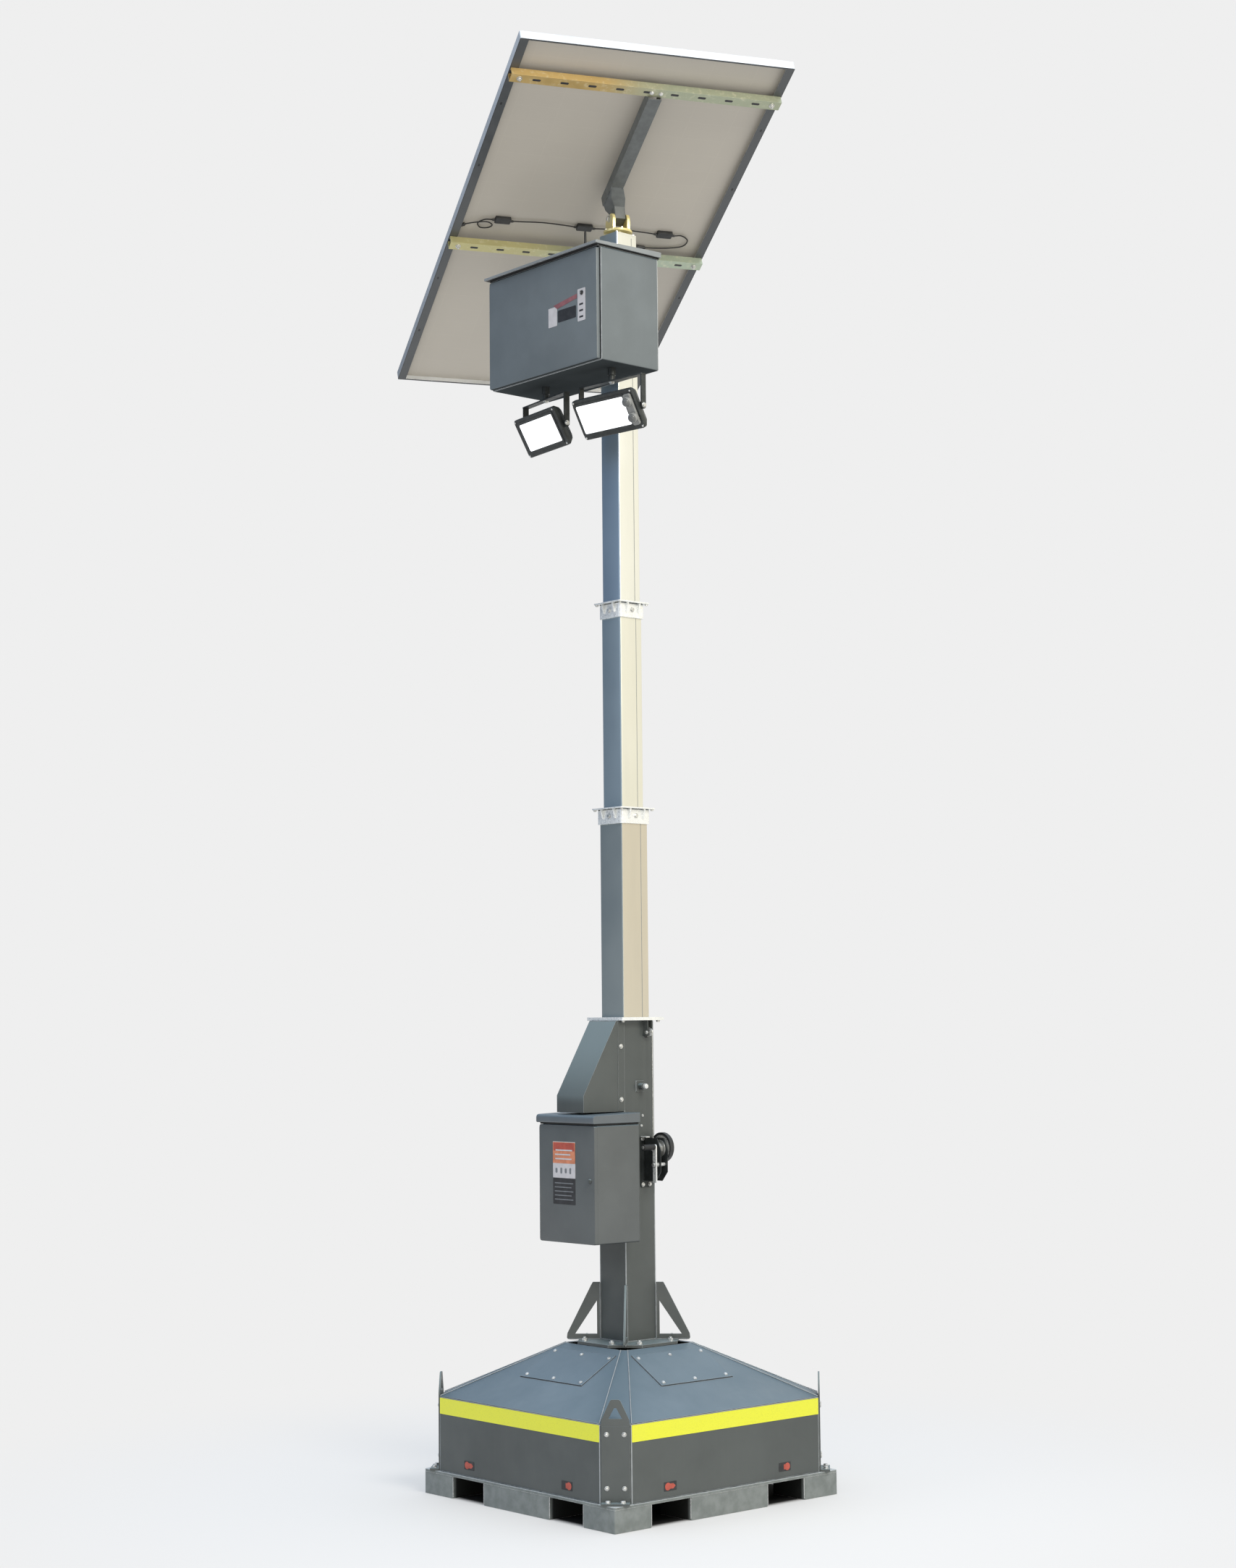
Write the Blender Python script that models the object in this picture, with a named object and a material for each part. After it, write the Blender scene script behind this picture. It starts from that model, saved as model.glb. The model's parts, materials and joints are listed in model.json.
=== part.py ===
"""Solar lighting tower: fork-lift ballast base, winch-raised square mast, battery box, two floodlights
and a swivelling solar panel. Metres, +Z up, origin at the bottom centre of the base."""

import math

import bmesh
import bpy
from mathutils import Matrix, Vector

GAP = 0.0003
# Base
PALLET, PALLET_H, DECK_T = 1.10, 0.09, 0.008
POCKET_IN, POCKET_OUT = 0.19, 0.377
BODY_HALF, BODY_CUT, BODY_TOP, SHEET = 0.542, 0.080, 0.364, 0.004
LUG_W, LUG_T, LUG_TOP, LUG_SHOULDER = 0.100, 0.006, 0.450, 0.378
COVER_TOP, COVER_TOP_HALF = 0.560, 0.176
HATCH_HALF, HATCH_NEAR, HATCH_FAR = 0.175, 0.212, 0.380
FLANGE_HALF, FLANGE_CUT, FLANGE_Z, FLANGE_T = 0.1775, 0.090, 0.561, 0.010
GUSSET_T, GUSSET_REACH, GUSSET_TOP = 0.008, 0.127, 0.784
# Mast
POST, POST_WALL, POST_TOP = 0.150, 0.006, 1.780
STAGES = (0.130, 0.110, 0.090)
STAGE_WALL = 0.0045
OVERLAP = 0.40
COLLAR_TOPS = (2.578, 3.373)
HEAD_Z = 4.819
# Control cabinet and cable housing
CAB_HALF, CAB_FRONT, CAB_BACK, CAB_Z0, CAB_Z1 = 0.160, -0.297, -0.0765, 0.948, 1.389
DOOR_T, LATCH_R = 0.0147, 0.009
HOUSING_HALF, HOUSING_FRONT, HOUSING_Z0, SLOPE_Z, SLOPE_TOP = 0.0775, -0.278, 1.428, 1.490, -0.114
# Winch
WINCH_X, DRUM_Y, DRUM_Z = 0.132, 0.036, 1.286
CRANK_X, CRANK_Z, CRANK_REACH = 0.155, 1.2279, 0.066
DRUM_R, GEAR_R, PINION_R, ROPE_R = 0.018, 0.050, 0.0125, 0.002
PULLEY_R, PULLEY_Z = 0.015, 1.722
PULLEY_X = WINCH_X - DRUM_R - PULLEY_R - 2 * ROPE_R - 2 * GAP
PIN_Y, PIN_Z = 0.002, 1.520
# Battery box
BOX_HALF, BOX_FRONT, BOX_BACK, BOX_Z0, BOX_Z1 = 0.327, -0.384, -0.087, 4.212, 4.648
CLAMP_ZS = (4.270, 4.540)
# Floodlights: (name, x, pan, tilt down, half width, lens left, lens right)
LIGHT_Y, LIGHT_Z, YOKE_TOP = -0.255, 4.043, 4.163
LIGHT_H, LIGHT_D, SENSOR_X = 0.158, 0.046, 0.129
LIGHTS = (
    ("left", -0.141, -8.0, 28.5, 0.146, -0.120, 0.120),
    ("right", 0.250, 5.5, 30.5, 0.155, -0.143, 0.102),
)
# Panel, in its own frame: X across, Y up the slope, Z out of the glass, origin on the tilt pivot
PIVOT_Z, PANEL_TURN, PANEL_TILT = 4.894, -112.5, 23.1
PANEL_W, PANEL_L, FRAME_D, SIDE_LIP, END_LIP = 1.070, 2.054, 0.035, 0.034, 0.008
PANEL_AT = (0.061, -0.2285, 0.1064)
RAIL_W, RAIL_D, RAIL_UP, RAIL_DOWN = 0.042, 0.030, 0.626, -0.330
SPINE_X, SPINE_HALF, SPINE_D = 0.026, 0.026, 0.042
ARM_HALF, EAR_T = 0.0225, 0.012
JUNCTION_STEP, JUNCTION_RISE = 0.339, 0.022
ORIGIN = {}


def solid(verts, faces):
    mesh = bpy.data.meshes.new("solid")
    mesh.from_pydata([tuple(v) for v in verts], [], faces)
    work = bmesh.new()
    work.from_mesh(mesh)
    bmesh.ops.recalc_face_normals(work, faces=work.faces)
    work.to_mesh(mesh)
    work.free()
    return mesh


def loft(rings):
    """One closed body through rings of points of equal count."""
    n = len(rings[0])
    verts = [v for ring in rings for v in ring]
    faces = [tuple(range(n)), tuple(range((len(rings) - 1) * n, len(rings) * n))]
    for k in range(len(rings) - 1):
        for i in range(n):
            j = (i + 1) % n
            faces.append((k * n + i, k * n + j, (k + 1) * n + j, (k + 1) * n + i))
    return solid(verts, faces)


def point(axis, a, b, along):
    return {"X": (along, a, b), "Y": (a, along, b), "Z": (a, b, along)}[axis]


def prism(outline, axis, low, high):
    return loft([[point(axis, a, b, t) for a, b in outline] for t in (low, high)])


def box(x0, x1, y0, y1, z0, z1):
    return prism([(x0, y0), (x1, y0), (x1, y1), (x0, y1)], "Z", z0, z1)


def circle(a, b, radius, count=24, turn=0.0):
    step = 2 * math.pi / count
    angles = [i * step + turn for i in range(count)]
    return [(a + radius * math.cos(angle), b + radius * math.sin(angle)) for angle in angles]


def cylinder(axis, a, b, radius, low, high, count=24):
    return prism(circle(a, b, radius, count), axis, low, high)


def square(half, cut=0.0):
    """Outline of a square, its corners cut where asked."""
    if not cut:
        return [(-half, -half), (half, -half), (half, half), (-half, half)]
    k = half - cut
    return [(-k, -half), (k, -half), (half, -k), (half, k), (k, half), (-k, half), (-half, k), (-half, -k)]


def boolean(base, tools, operation):
    objects = [bpy.data.objects.new("work", mesh) for mesh in [base, *tools]]
    for obj in objects:
        bpy.context.scene.collection.objects.link(obj)
    for tool in objects[1:]:
        step = objects[0].modifiers.new("step", "BOOLEAN")
        step.operation = operation
        step.solver = "EXACT"
        step.object = tool
    graph = bpy.context.evaluated_depsgraph_get()
    result = bpy.data.meshes.new_from_object(objects[0].evaluated_get(graph))
    for obj in objects:
        bpy.data.objects.remove(obj)
    return result


def cut(base, *tools):
    return boolean(base, tools, "DIFFERENCE")


def join(base, *tools):
    return boolean(base, tools, "UNION")


def turned(mesh, matrix):
    copy = mesh.copy()
    copy.transform(matrix)
    return copy


def about_z(mesh, degrees):
    return turned(mesh, Matrix.Rotation(math.radians(degrees), 4, "Z"))


def moved(mesh, x, y, z):
    return turned(mesh, Matrix.Translation((x, y, z)))


def square_tube(side, wall, low, high):
    bore = prism(square(side / 2 - wall), "Z", low - 0.01, high + 0.01)
    return cut(prism(square(side / 2), "Z", low, high), bore)


def look(name, colour, metallic=0.0, roughness=0.5):
    if name in bpy.data.materials:
        return bpy.data.materials[name]
    made = bpy.data.materials.new(name)
    made.use_nodes = True
    shader = made.node_tree.nodes["Principled BSDF"]
    shader.inputs["Base Color"].default_value = (*colour, 1.0)
    shader.inputs["Metallic"].default_value = metallic
    shader.inputs["Roughness"].default_value = roughness
    return made


LOOKS = {
    "dark_paint": ((0.095, 0.110, 0.108), 0.0, 0.45),
    "grey_paint": ((0.190, 0.230, 0.275), 0.0, 0.45),
    "galvanised": ((0.400, 0.430, 0.440), 0.7, 0.40),
    "zinc_yellow": ((0.600, 0.480, 0.200), 0.6, 0.40),
    "steel": ((0.520, 0.530, 0.540), 0.9, 0.30),
    "black_plastic": ((0.020, 0.020, 0.022), 0.0, 0.45),
    "white_plastic": ((0.800, 0.800, 0.790), 0.0, 0.40),
    "aluminium": ((0.330, 0.350, 0.370), 0.8, 0.40),
    "black_metal": ((0.030, 0.033, 0.036), 0.3, 0.45),
    "lens": ((0.950, 0.950, 0.930), 0.0, 0.20),
    "laminate": ((0.380, 0.340, 0.290), 0.0, 0.50),
    "concrete": ((0.330, 0.320, 0.300), 0.0, 0.85),
    "wire_rope": ((0.300, 0.300, 0.300), 0.8, 0.40),
    "rubber": ((0.015, 0.015, 0.015), 0.0, 0.70),
    "battery_case": ((0.060, 0.070, 0.090), 0.0, 0.45),
}


def node(name, mesh, finish, parent=None, at=(0.0, 0.0, 0.0), turn=None, local=False):
    """Adds one part with its origin at a point of the row frame, or of its parent's own frame when local."""
    if not local:
        mesh.transform(Matrix.Translation(-Vector(at)))
    mesh.name = name
    mesh.materials.clear()
    mesh.materials.append(look(f"{name}_{finish}", *LOOKS[finish]))
    made = bpy.data.objects.new(name, mesh)
    bpy.context.scene.collection.objects.link(made)
    ORIGIN[name] = Vector(at)
    made.location = at
    if parent:
        made.parent = bpy.data.objects[parent]
        made.location = Vector(at) if local else Vector(at) - ORIGIN[parent]
    if turn:
        made.rotation_euler = turn
    return made


# ---- base ----

def pallet():
    half = PALLET / 2
    deck = prism(square(half, 0.012), "Z", PALLET_H - DECK_T, PALLET_H)
    spans = ((-half, -POCKET_OUT), (-POCKET_IN, POCKET_IN), (POCKET_OUT, half))
    top = PALLET_H - DECK_T / 2
    blocks = [box(a, b, c, d, 0.0, top) for a, b in spans for c, d in spans]
    corner = prism(square(half, 0.012), "Z", 0.0, PALLET_H)
    skid = boolean(join(deck, *blocks), [corner], "INTERSECT")
    pedestal = square_tube(POST, POST_WALL, PALLET_H - 0.002, FLANGE_Z - GAP)
    node("pallet_frame", join(skid, pedestal), "galvanised")


def ballast():
    low = PALLET_H + GAP
    inner_half, inner_cut = BODY_HALF - SHEET, BODY_CUT - SHEET * 0.586
    skin = cut(
        prism(square(BODY_HALF, BODY_CUT), "Z", low, BODY_TOP),
        prism(square(inner_half, inner_cut), "Z", low - 0.01, BODY_TOP + 0.01),
    )
    node("ballast_body", skin, "dark_paint", "pallet_frame")
    block = cut(
        prism(square(inner_half - 0.002, inner_cut), "Z", low, BODY_TOP - 0.030),
        prism(square(POST / 2 + 0.002), "Z", 0.0, 1.0),
    )
    node("ballast_block", block, "concrete", "pallet_frame")


def round_head(x, z, face, out=0.005, radius=0.0085, count=8):
    """A bolt head on a plate whose face looks along -Y."""
    rings = [(radius, face + 0.002), (radius, face - out * 0.5), (radius * 0.6, face - out)]
    return loft([[(a, y, b) for a, b in circle(x, z, r, count)] for r, y in rings])


def corner_plates():
    """Lifting plates across the four cut corners, each with a foot bolted to the deck."""
    distance = (2 * BODY_HALF - BODY_CUT) / math.sqrt(2) + GAP
    face, half, low = -(distance + LUG_T), LUG_W / 2, PALLET_H + GAP
    outline = [(-half, low), (half, low), (half, LUG_SHOULDER), (0.012, LUG_TOP), (-0.012, LUG_TOP)]
    outline.append((-half, LUG_SHOULDER))
    plate = prism(outline, "Y", face, face + LUG_T)
    sill = LUG_SHOULDER + 0.004
    eye = prism([(-0.024, sill), (0.024, sill), (0.0, LUG_TOP - 0.026)], "Y", -1.0, 0.0)
    foot = box(-half, half, face - 0.034, face + 0.003, low, low + 0.008)
    hexes = [cylinder("Z", s * 0.026, face - 0.018, 0.009, low + 0.006, low + 0.016, 6) for s in (-1, 1)]
    heads = [round_head(s * 0.031, z, face) for s in (-1, 1) for z in (0.145, 0.330)]
    whole = join(cut(plate, eye), foot, *hexes, *heads)
    for index, degrees in enumerate((45, 135, 225, 315)):
        node(f"corner_plate_{index + 1}", about_z(whole, degrees), "dark_paint", "ballast_body")


def cover_height(half):
    """Height of the cover's side face at a distance from the centre."""
    share = (BODY_HALF - half) / (BODY_HALF - COVER_TOP_HALF)
    return BODY_TOP + GAP + share * (COVER_TOP - BODY_TOP - GAP)


def pyramid():
    def shape(half0, cut0, half1, cut1, z0, z1):
        rings = ((half0, cut0, z0), (half1, cut1, z1))
        return loft([[(x, y, z) for x, y in square(h, c)] for h, c, z in rings])

    low = BODY_TOP + GAP
    top, half, down = COVER_TOP, COVER_TOP_HALF, 0.0045
    outer = shape(BODY_HALF, BODY_CUT, half, 0.018, low, top)
    inner = shape(BODY_HALF + 0.002, BODY_CUT, half + 0.001, 0.018, low - down, top - down)
    hole = prism(square(COVER_TOP_HALF - 0.012, 0.016), "Z", COVER_TOP - 0.1, COVER_TOP + 0.1)
    node("pyramid_cover", cut(outer, inner, hole), "grey_paint", "ballast_body")


def hatches():
    """Bolted access plates lying on the four sloping faces."""
    wide, low, high = HATCH_HALF, HATCH_FAR, HATCH_NEAR
    outline = [(-wide, low), (wide, low), (wide - 0.004, high), (0.004 - wide, high)]
    lifts = (0.0008, 0.0038)
    rings = [[(x, -d, cover_height(d) + lift) for x, d in outline] for lift in lifts]
    heads = []
    for x in (-0.155, 0.0, 0.155):
        for d in (low - 0.014, high + 0.018):
            face = cover_height(d)
            heads.append(cut(cylinder("Z", x, -d, 0.0075, face, face + 0.009, 6), below_slope()))
    plate = join(loft(rings), *heads)
    for index, degrees in enumerate((0, 90, 180, 270)):
        node(f"access_hatch_{index + 1}", about_z(plate, degrees), "grey_paint", "pyramid_cover")


def below_slope():
    """Everything under the mid-plane of a hatch, used to trim its bolts."""
    near, far = 0.10, 0.60
    line = [(-d, cover_height(d) + 0.002) for d in (far, near)]
    profile = line + [(-near, 0.0), (-far, 0.0)]
    return prism(profile, "X", -0.3, 0.3)


def base_flange():
    """Bolted flange with four triangular braces welded to it along the diagonals."""
    plate = prism(square(FLANGE_HALF, FLANGE_CUT), "Z", FLANGE_Z, FLANGE_Z + FLANGE_T)
    top = FLANGE_Z + FLANGE_T
    bolts = []
    for quarter in range(4):
        for side in (-0.078, 0.078):
            head = cylinder("Z", side, -0.150, 0.011, top - 0.002, top + 0.010, 6)
            bolts.append(about_z(head, 90 * quarter))
    braces = [about_z(gusset(), degrees) for degrees in (45, 135, 225, 315)]
    node("base_flange", join(plate, *bolts, *braces), "dark_paint", "pallet_frame")


def gusset():
    """A triangular brace from the post's corner to the flange, with a window in it."""
    start, low = POST / math.sqrt(2) + GAP, FLANGE_Z + FLANGE_T
    end = start + GUSSET_REACH
    outline = [(start, low - 0.003), (end, low - 0.003), (end, low + 0.022)]
    outline += [(start + 0.030, GUSSET_TOP), (start, GUSSET_TOP)]
    window = [(start + 0.012, low + 0.020), (end - 0.030, low + 0.020), (start + 0.012, GUSSET_TOP - 0.070)]
    half = GUSSET_T / 2
    return cut(prism(outline, "Y", -half, half), prism(window, "Y", -0.1, 0.1))


# ---- mast ----

def lower_post():
    low, high = FLANGE_Z + FLANGE_T + GAP, POST_TOP - 0.012 - GAP
    slot = box(0.06, 0.10, DRUM_Y - 0.0085, DRUM_Y + 0.0085, PULLEY_Z - 0.020, PULLEY_Z + 0.020)
    y, x0 = PIN_Y, POST / 2
    barrel = cylinder("X", y, PIN_Z, 0.012, x0 - 0.002, x0 + 0.026, 20)
    seat = box(x0 - 0.002, x0 + 0.004, y - 0.018, y + 0.018, PIN_Z - 0.020, PIN_Z + 0.020)
    bore = cylinder("X", y, PIN_Z, 0.0062, 0.0, 0.2, 20)
    post = join(square_tube(POST, POST_WALL, low, high), seat, barrel)
    node("lower_post", cut(post, slot, bore), "dark_paint", "base_flange")
    flange = cut(
        prism(square(0.1055, 0.006), "Z", POST_TOP - 0.012, POST_TOP),
        prism(square(STAGES[0] / 2 + 0.002), "Z", 1.0, 2.0),
    )
    node("post_top_flange", join(flange, pulley_bracket()), "galvanised", "lower_post")


def pulley_bracket():
    """Cheeks that hang from the flange and carry the rope pulley's pin."""
    x0, top = POST / 2 + GAP, POST_TOP - 0.010
    spans = ((DRUM_Y - 0.0125, DRUM_Y - 0.0090), (DRUM_Y + 0.0090, DRUM_Y + 0.0125))
    ears = [box(x0, x0 + 0.026, a, b, PULLEY_Z - 0.014, top) for a, b in spans]
    pin = cylinder("Y", PULLEY_X, PULLEY_Z, 0.0040, DRUM_Y - 0.014, DRUM_Y + 0.014, 20)
    return join(*ears, pin)


def collar(index, outer, inner, top, reach):
    """Plate and sleeve round the head of a stage, with a hole for the next one."""
    hole = prism(square(inner / 2 + 0.002), "Z", 0.0, 9.0)
    plate = cut(prism(square(reach, 0.006), "Z", top - 0.005, top), hole)
    sleeve = square_tube(outer + 0.014, 0.0067, top - 0.062, top - 0.003)
    rib = box(-0.004, 0.004, outer / 2 + 0.005, reach - 0.004, top - 0.034, top - 0.003)
    ribs = [about_z(rib, 90 * quarter) for quarter in range(4)]
    node(f"collar_{index}", join(plate, sleeve, *ribs), "galvanised", f"mast_stage_{index}")


def stages():
    lows = (POST_TOP - OVERLAP, COLLAR_TOPS[0] - OVERLAP, COLLAR_TOPS[1] - OVERLAP)
    highs = (COLLAR_TOPS[0] - 0.005 - GAP, COLLAR_TOPS[1] - 0.005 - GAP, HEAD_Z)
    parent = "lower_post"
    for index, side in enumerate(STAGES, start=1):
        tube = square_tube(side, STAGE_WALL, lows[index - 1], highs[index - 1])
        if index == 3:
            cap = prism(square(0.052, 0.006), "Z", HEAD_Z - 0.001, HEAD_Z + 0.006)
            tube = join(tube, cap, cylinder("Z", 0.0, 0.0, 0.020, HEAD_Z + 0.004, HEAD_Z + 0.016))
        name = f"mast_stage_{index}"
        node(name, tube, "galvanised", parent, (0.0, 0.0, lows[index - 1]))
        parent = name
        if index < 3:
            collar(index, side, STAGES[index], COLLAR_TOPS[index - 1], side / 2 + 0.0225)


# ---- cable housing and control cabinet ----

def cable_housing():
    """Folded cover on the post between the cabinet's roof and the top flange."""
    top, back, front, wall = POST_TOP - 0.0125, -POST / 2 - GAP, HOUSING_FRONT, 0.002
    outline = [(back, HOUSING_Z0), (front, HOUSING_Z0), (front, SLOPE_Z), (SLOPE_TOP, top), (back, top)]
    low, high = HOUSING_Z0 - 0.05, top - wall
    inset = [(0.0, low), (front + wall, low), (front + wall, SLOPE_Z), (SLOPE_TOP + 0.001, high), (0.0, high)]
    shell = cut(
        prism(outline, "X", -HOUSING_HALF, HOUSING_HALF),
        prism(inset, "X", -HOUSING_HALF + wall, HOUSING_HALF - wall),
    )
    side = HOUSING_HALF
    bolts = [cylinder("X", -0.092, z, 0.009, side - 0.001, side + 0.006, 6) for z in (1.472, 1.671)]
    node("cable_housing", join(shell, *bolts), "dark_paint", "lower_post")


def open_box(half, front, back, z0, z1, wall):
    return cut(
        box(-half, half, front, back, z0, z1),
        box(-half + wall, half - wall, front - 0.01, back - wall, z0 + wall, z1 - wall),
    )


def door_panel(half, front, z0, z1, depth):
    """A door pan with folded edges, open towards the cabinet."""
    return cut(
        box(-half, half, front, front + depth, z0, z1),
        box(-half + 0.002, half - 0.002, front + 0.002, front + depth + 0.01, z0 + 0.002, z1 - 0.002),
    )


def latch(x, z, front):
    """A low round lock with a grip bar across it."""
    disc = cylinder("Y", x, z, LATCH_R, front - 0.004, front - GAP, 16)
    bar = box(x - 0.0025, x + 0.0025, front - 0.008, front - 0.003, z - 0.007, z + 0.007)
    return join(disc, bar)


def cabinet():
    front = CAB_FRONT + DOOR_T + GAP
    shell = open_box(CAB_HALF, front, CAB_BACK, CAB_Z0, CAB_Z1, 0.0025)
    node("cabinet_shell", shell, "dark_paint", "lower_post")
    low, out = CAB_Z1 + GAP, CAB_HALF + 0.007
    lip = CAB_FRONT - 0.010
    roof = [(CAB_BACK, low), (lip, low), (lip, low + 0.022), (lip + 0.010, low + 0.031)]
    roof.append((CAB_BACK, low + 0.036))
    node("cabinet_roof", prism(roof, "X", -out, out), "dark_paint", "cabinet_shell")
    hinge = (-CAB_HALF - 0.004, CAB_FRONT - 0.002, (CAB_Z0 + CAB_Z1) / 2)
    door = door_panel(CAB_HALF, CAB_FRONT, CAB_Z0, CAB_Z1 - 0.001, DOOR_T)
    node("cabinet_door", door, "dark_paint", "cabinet_shell", hinge)
    at = (CAB_HALF - 0.025, CAB_FRONT, 1.180)
    node("cabinet_latch", latch(at[0], at[2], CAB_FRONT), "black_plastic", "cabinet_door", at)
    cabinet_inside()


def cabinet_inside():
    back = CAB_BACK - 0.0025 - GAP
    plate = box(-0.130, 0.130, back - 0.003, back, 0.990, 1.375)
    face = back - 0.003 - GAP
    switch_body = box(-0.060, 0.020, face - 0.060, face + 0.001, 1.020, 1.110)
    node("control_plate", join(plate, switch_body), "galvanised", "cabinet_shell")
    charger = box(-0.105, 0.015, face - 0.055, face, 1.160, 1.340)
    lefts = [-0.100 + 0.014 * i for i in range(8)]
    fins = [box(x, x + 0.006, face - 0.063, face - 0.050, 1.170, 1.330) for x in lefts]
    node("charge_controller", join(charger, *fins), "black_metal", "control_plate")
    at = (-0.020, face - 0.060, 1.065)
    disc = cylinder("Y", at[0], at[2], 0.022, at[1] - 0.012, at[1] - GAP, 20)
    bar = box(at[0] - 0.005, at[0] + 0.005, at[1] - 0.026, at[1] - 0.010, at[2] - 0.020, at[2] + 0.020)
    node("switch_knob", join(disc, bar), "rubber", "control_plate", at)


# ---- winch ----

def winch_frame():
    x0, x1 = POST / 2 + GAP, CRANK_X + 0.018
    back = box(x0, x0 + 0.004, DRUM_Y - 0.034, DRUM_Y + 0.018, 1.140, 1.332)
    middles = (DRUM_Y - 0.0165, DRUM_Y + 0.0165)
    cheeks = [box(x0 + 0.002, x1, y - 0.0015, y + 0.0015, 1.165, 1.325) for y in middles]
    axles = ((WINCH_X, DRUM_Z), (CRANK_X, CRANK_Z))
    bores = [cylinder("Y", x, z, 0.0071, -0.1, 0.1) for x, z in axles]
    tie = cylinder("Y", x1 - 0.060, 1.178, 0.005, DRUM_Y - 0.0170, DRUM_Y + 0.0170, 10)
    frame = cut(join(back, *cheeks, tie), *bores)
    node("winch_frame", frame, "galvanised", "lower_post")
    y0, x, z = DRUM_Y + 0.0262, WINCH_X + 0.001, DRUM_Z + 0.004
    cup = cut(
        cylinder("Y", x, z, 0.056, DRUM_Y + 0.0184, y0 + 0.013, 40),
        cylinder("Y", x, z, 0.0535, 0.0, y0, 40),
        box(0.0, 0.2, 0.0, y0 - 0.0004, 1.10, 1.262),
    )
    node("winch_gear_cover", cup, "black_plastic", "winch_frame")


def winch_moving():
    y = DRUM_Y
    core = cylinder("Y", WINCH_X, DRUM_Z, DRUM_R, y - 0.0130, y + 0.0130)
    ends = [cylinder("Y", WINCH_X, DRUM_Z, 0.032, a, a + 0.0018, 32) for a in (y - 0.0145, y + 0.0127)]
    shaft = cylinder("Y", WINCH_X, DRUM_Z, 0.0070, y - 0.024, y + 0.0255, 24)
    gear = cylinder("Y", WINCH_X, DRUM_Z, GEAR_R - 0.0004, y + 0.0190, y + 0.0245, 48)
    node("winch_drum", join(core, shaft, *ends, gear), "steel", "winch_frame", (WINCH_X, y, DRUM_Z))
    x, z = CRANK_X, CRANK_Z
    axle = cylinder("Y", x, z, 0.0070, y - 0.034, y + 0.0255, 24)
    pinion = cylinder("Y", x, z, PINION_R - 0.0004, y + 0.0185, y + 0.0250, 20)
    arm = box(x - 0.009, x + 0.009, y - 0.034, y - 0.028, z - 0.068, z + CRANK_REACH + 0.010)
    peg = cylinder("Y", x, z + CRANK_REACH, 0.0045, y - 0.092, y - 0.030, 16)
    node("winch_crank", join(axle, pinion, arm, peg), "steel", "winch_frame", (x, y - 0.031, z))
    grip = cut(cylinder("Y", x, z + CRANK_REACH, 0.011, y - 0.090, y - 0.0345, 20),
               cylinder("Y", x, z + CRANK_REACH, 0.0047, -0.2, 0.2, 16))
    node("winch_grip", grip, "rubber", "winch_crank", (x, y - 0.062, z + CRANK_REACH))


def rope_and_pulley():
    line_x, centre_x = PULLEY_X + PULLEY_R + ROPE_R + GAP, PULLEY_X
    low, high = DRUM_Z, PULLEY_Z
    node("winch_rope", cylinder("Z", line_x, DRUM_Y, ROPE_R, low, high, 8), "wire_rope", "winch_frame")
    rings = ((0.0165, -0.006), (PULLEY_R, -0.003), (PULLEY_R, 0.003), (0.0165, 0.006))
    wheel = loft([[(a, DRUM_Y + y, b) for a, b in circle(centre_x, PULLEY_Z, r, 28)] for r, y in rings])
    bore = cylinder("Y", centre_x, PULLEY_Z, 0.0042, 0.0, 0.1, 20)
    at = (centre_x, DRUM_Y, PULLEY_Z)
    node("rope_pulley", cut(wheel, bore), "steel", "post_top_flange", at)


def lock_pin():
    """Spring plunger that holds the first stage."""
    y, z, x0 = PIN_Y, PIN_Z, POST / 2
    tip = STAGES[0] / 2 + 0.0006
    pin = cylinder("X", y, z, 0.0060, tip, x0 + 0.034, 20)
    head = cylinder("X", y, z, 0.010, x0 + 0.0275, x0 + 0.042, 20)
    node("lock_pin", join(pin, head), "steel", "lower_post", (x0 + 0.030, y, z))


# ---- battery box and lights ----

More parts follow.
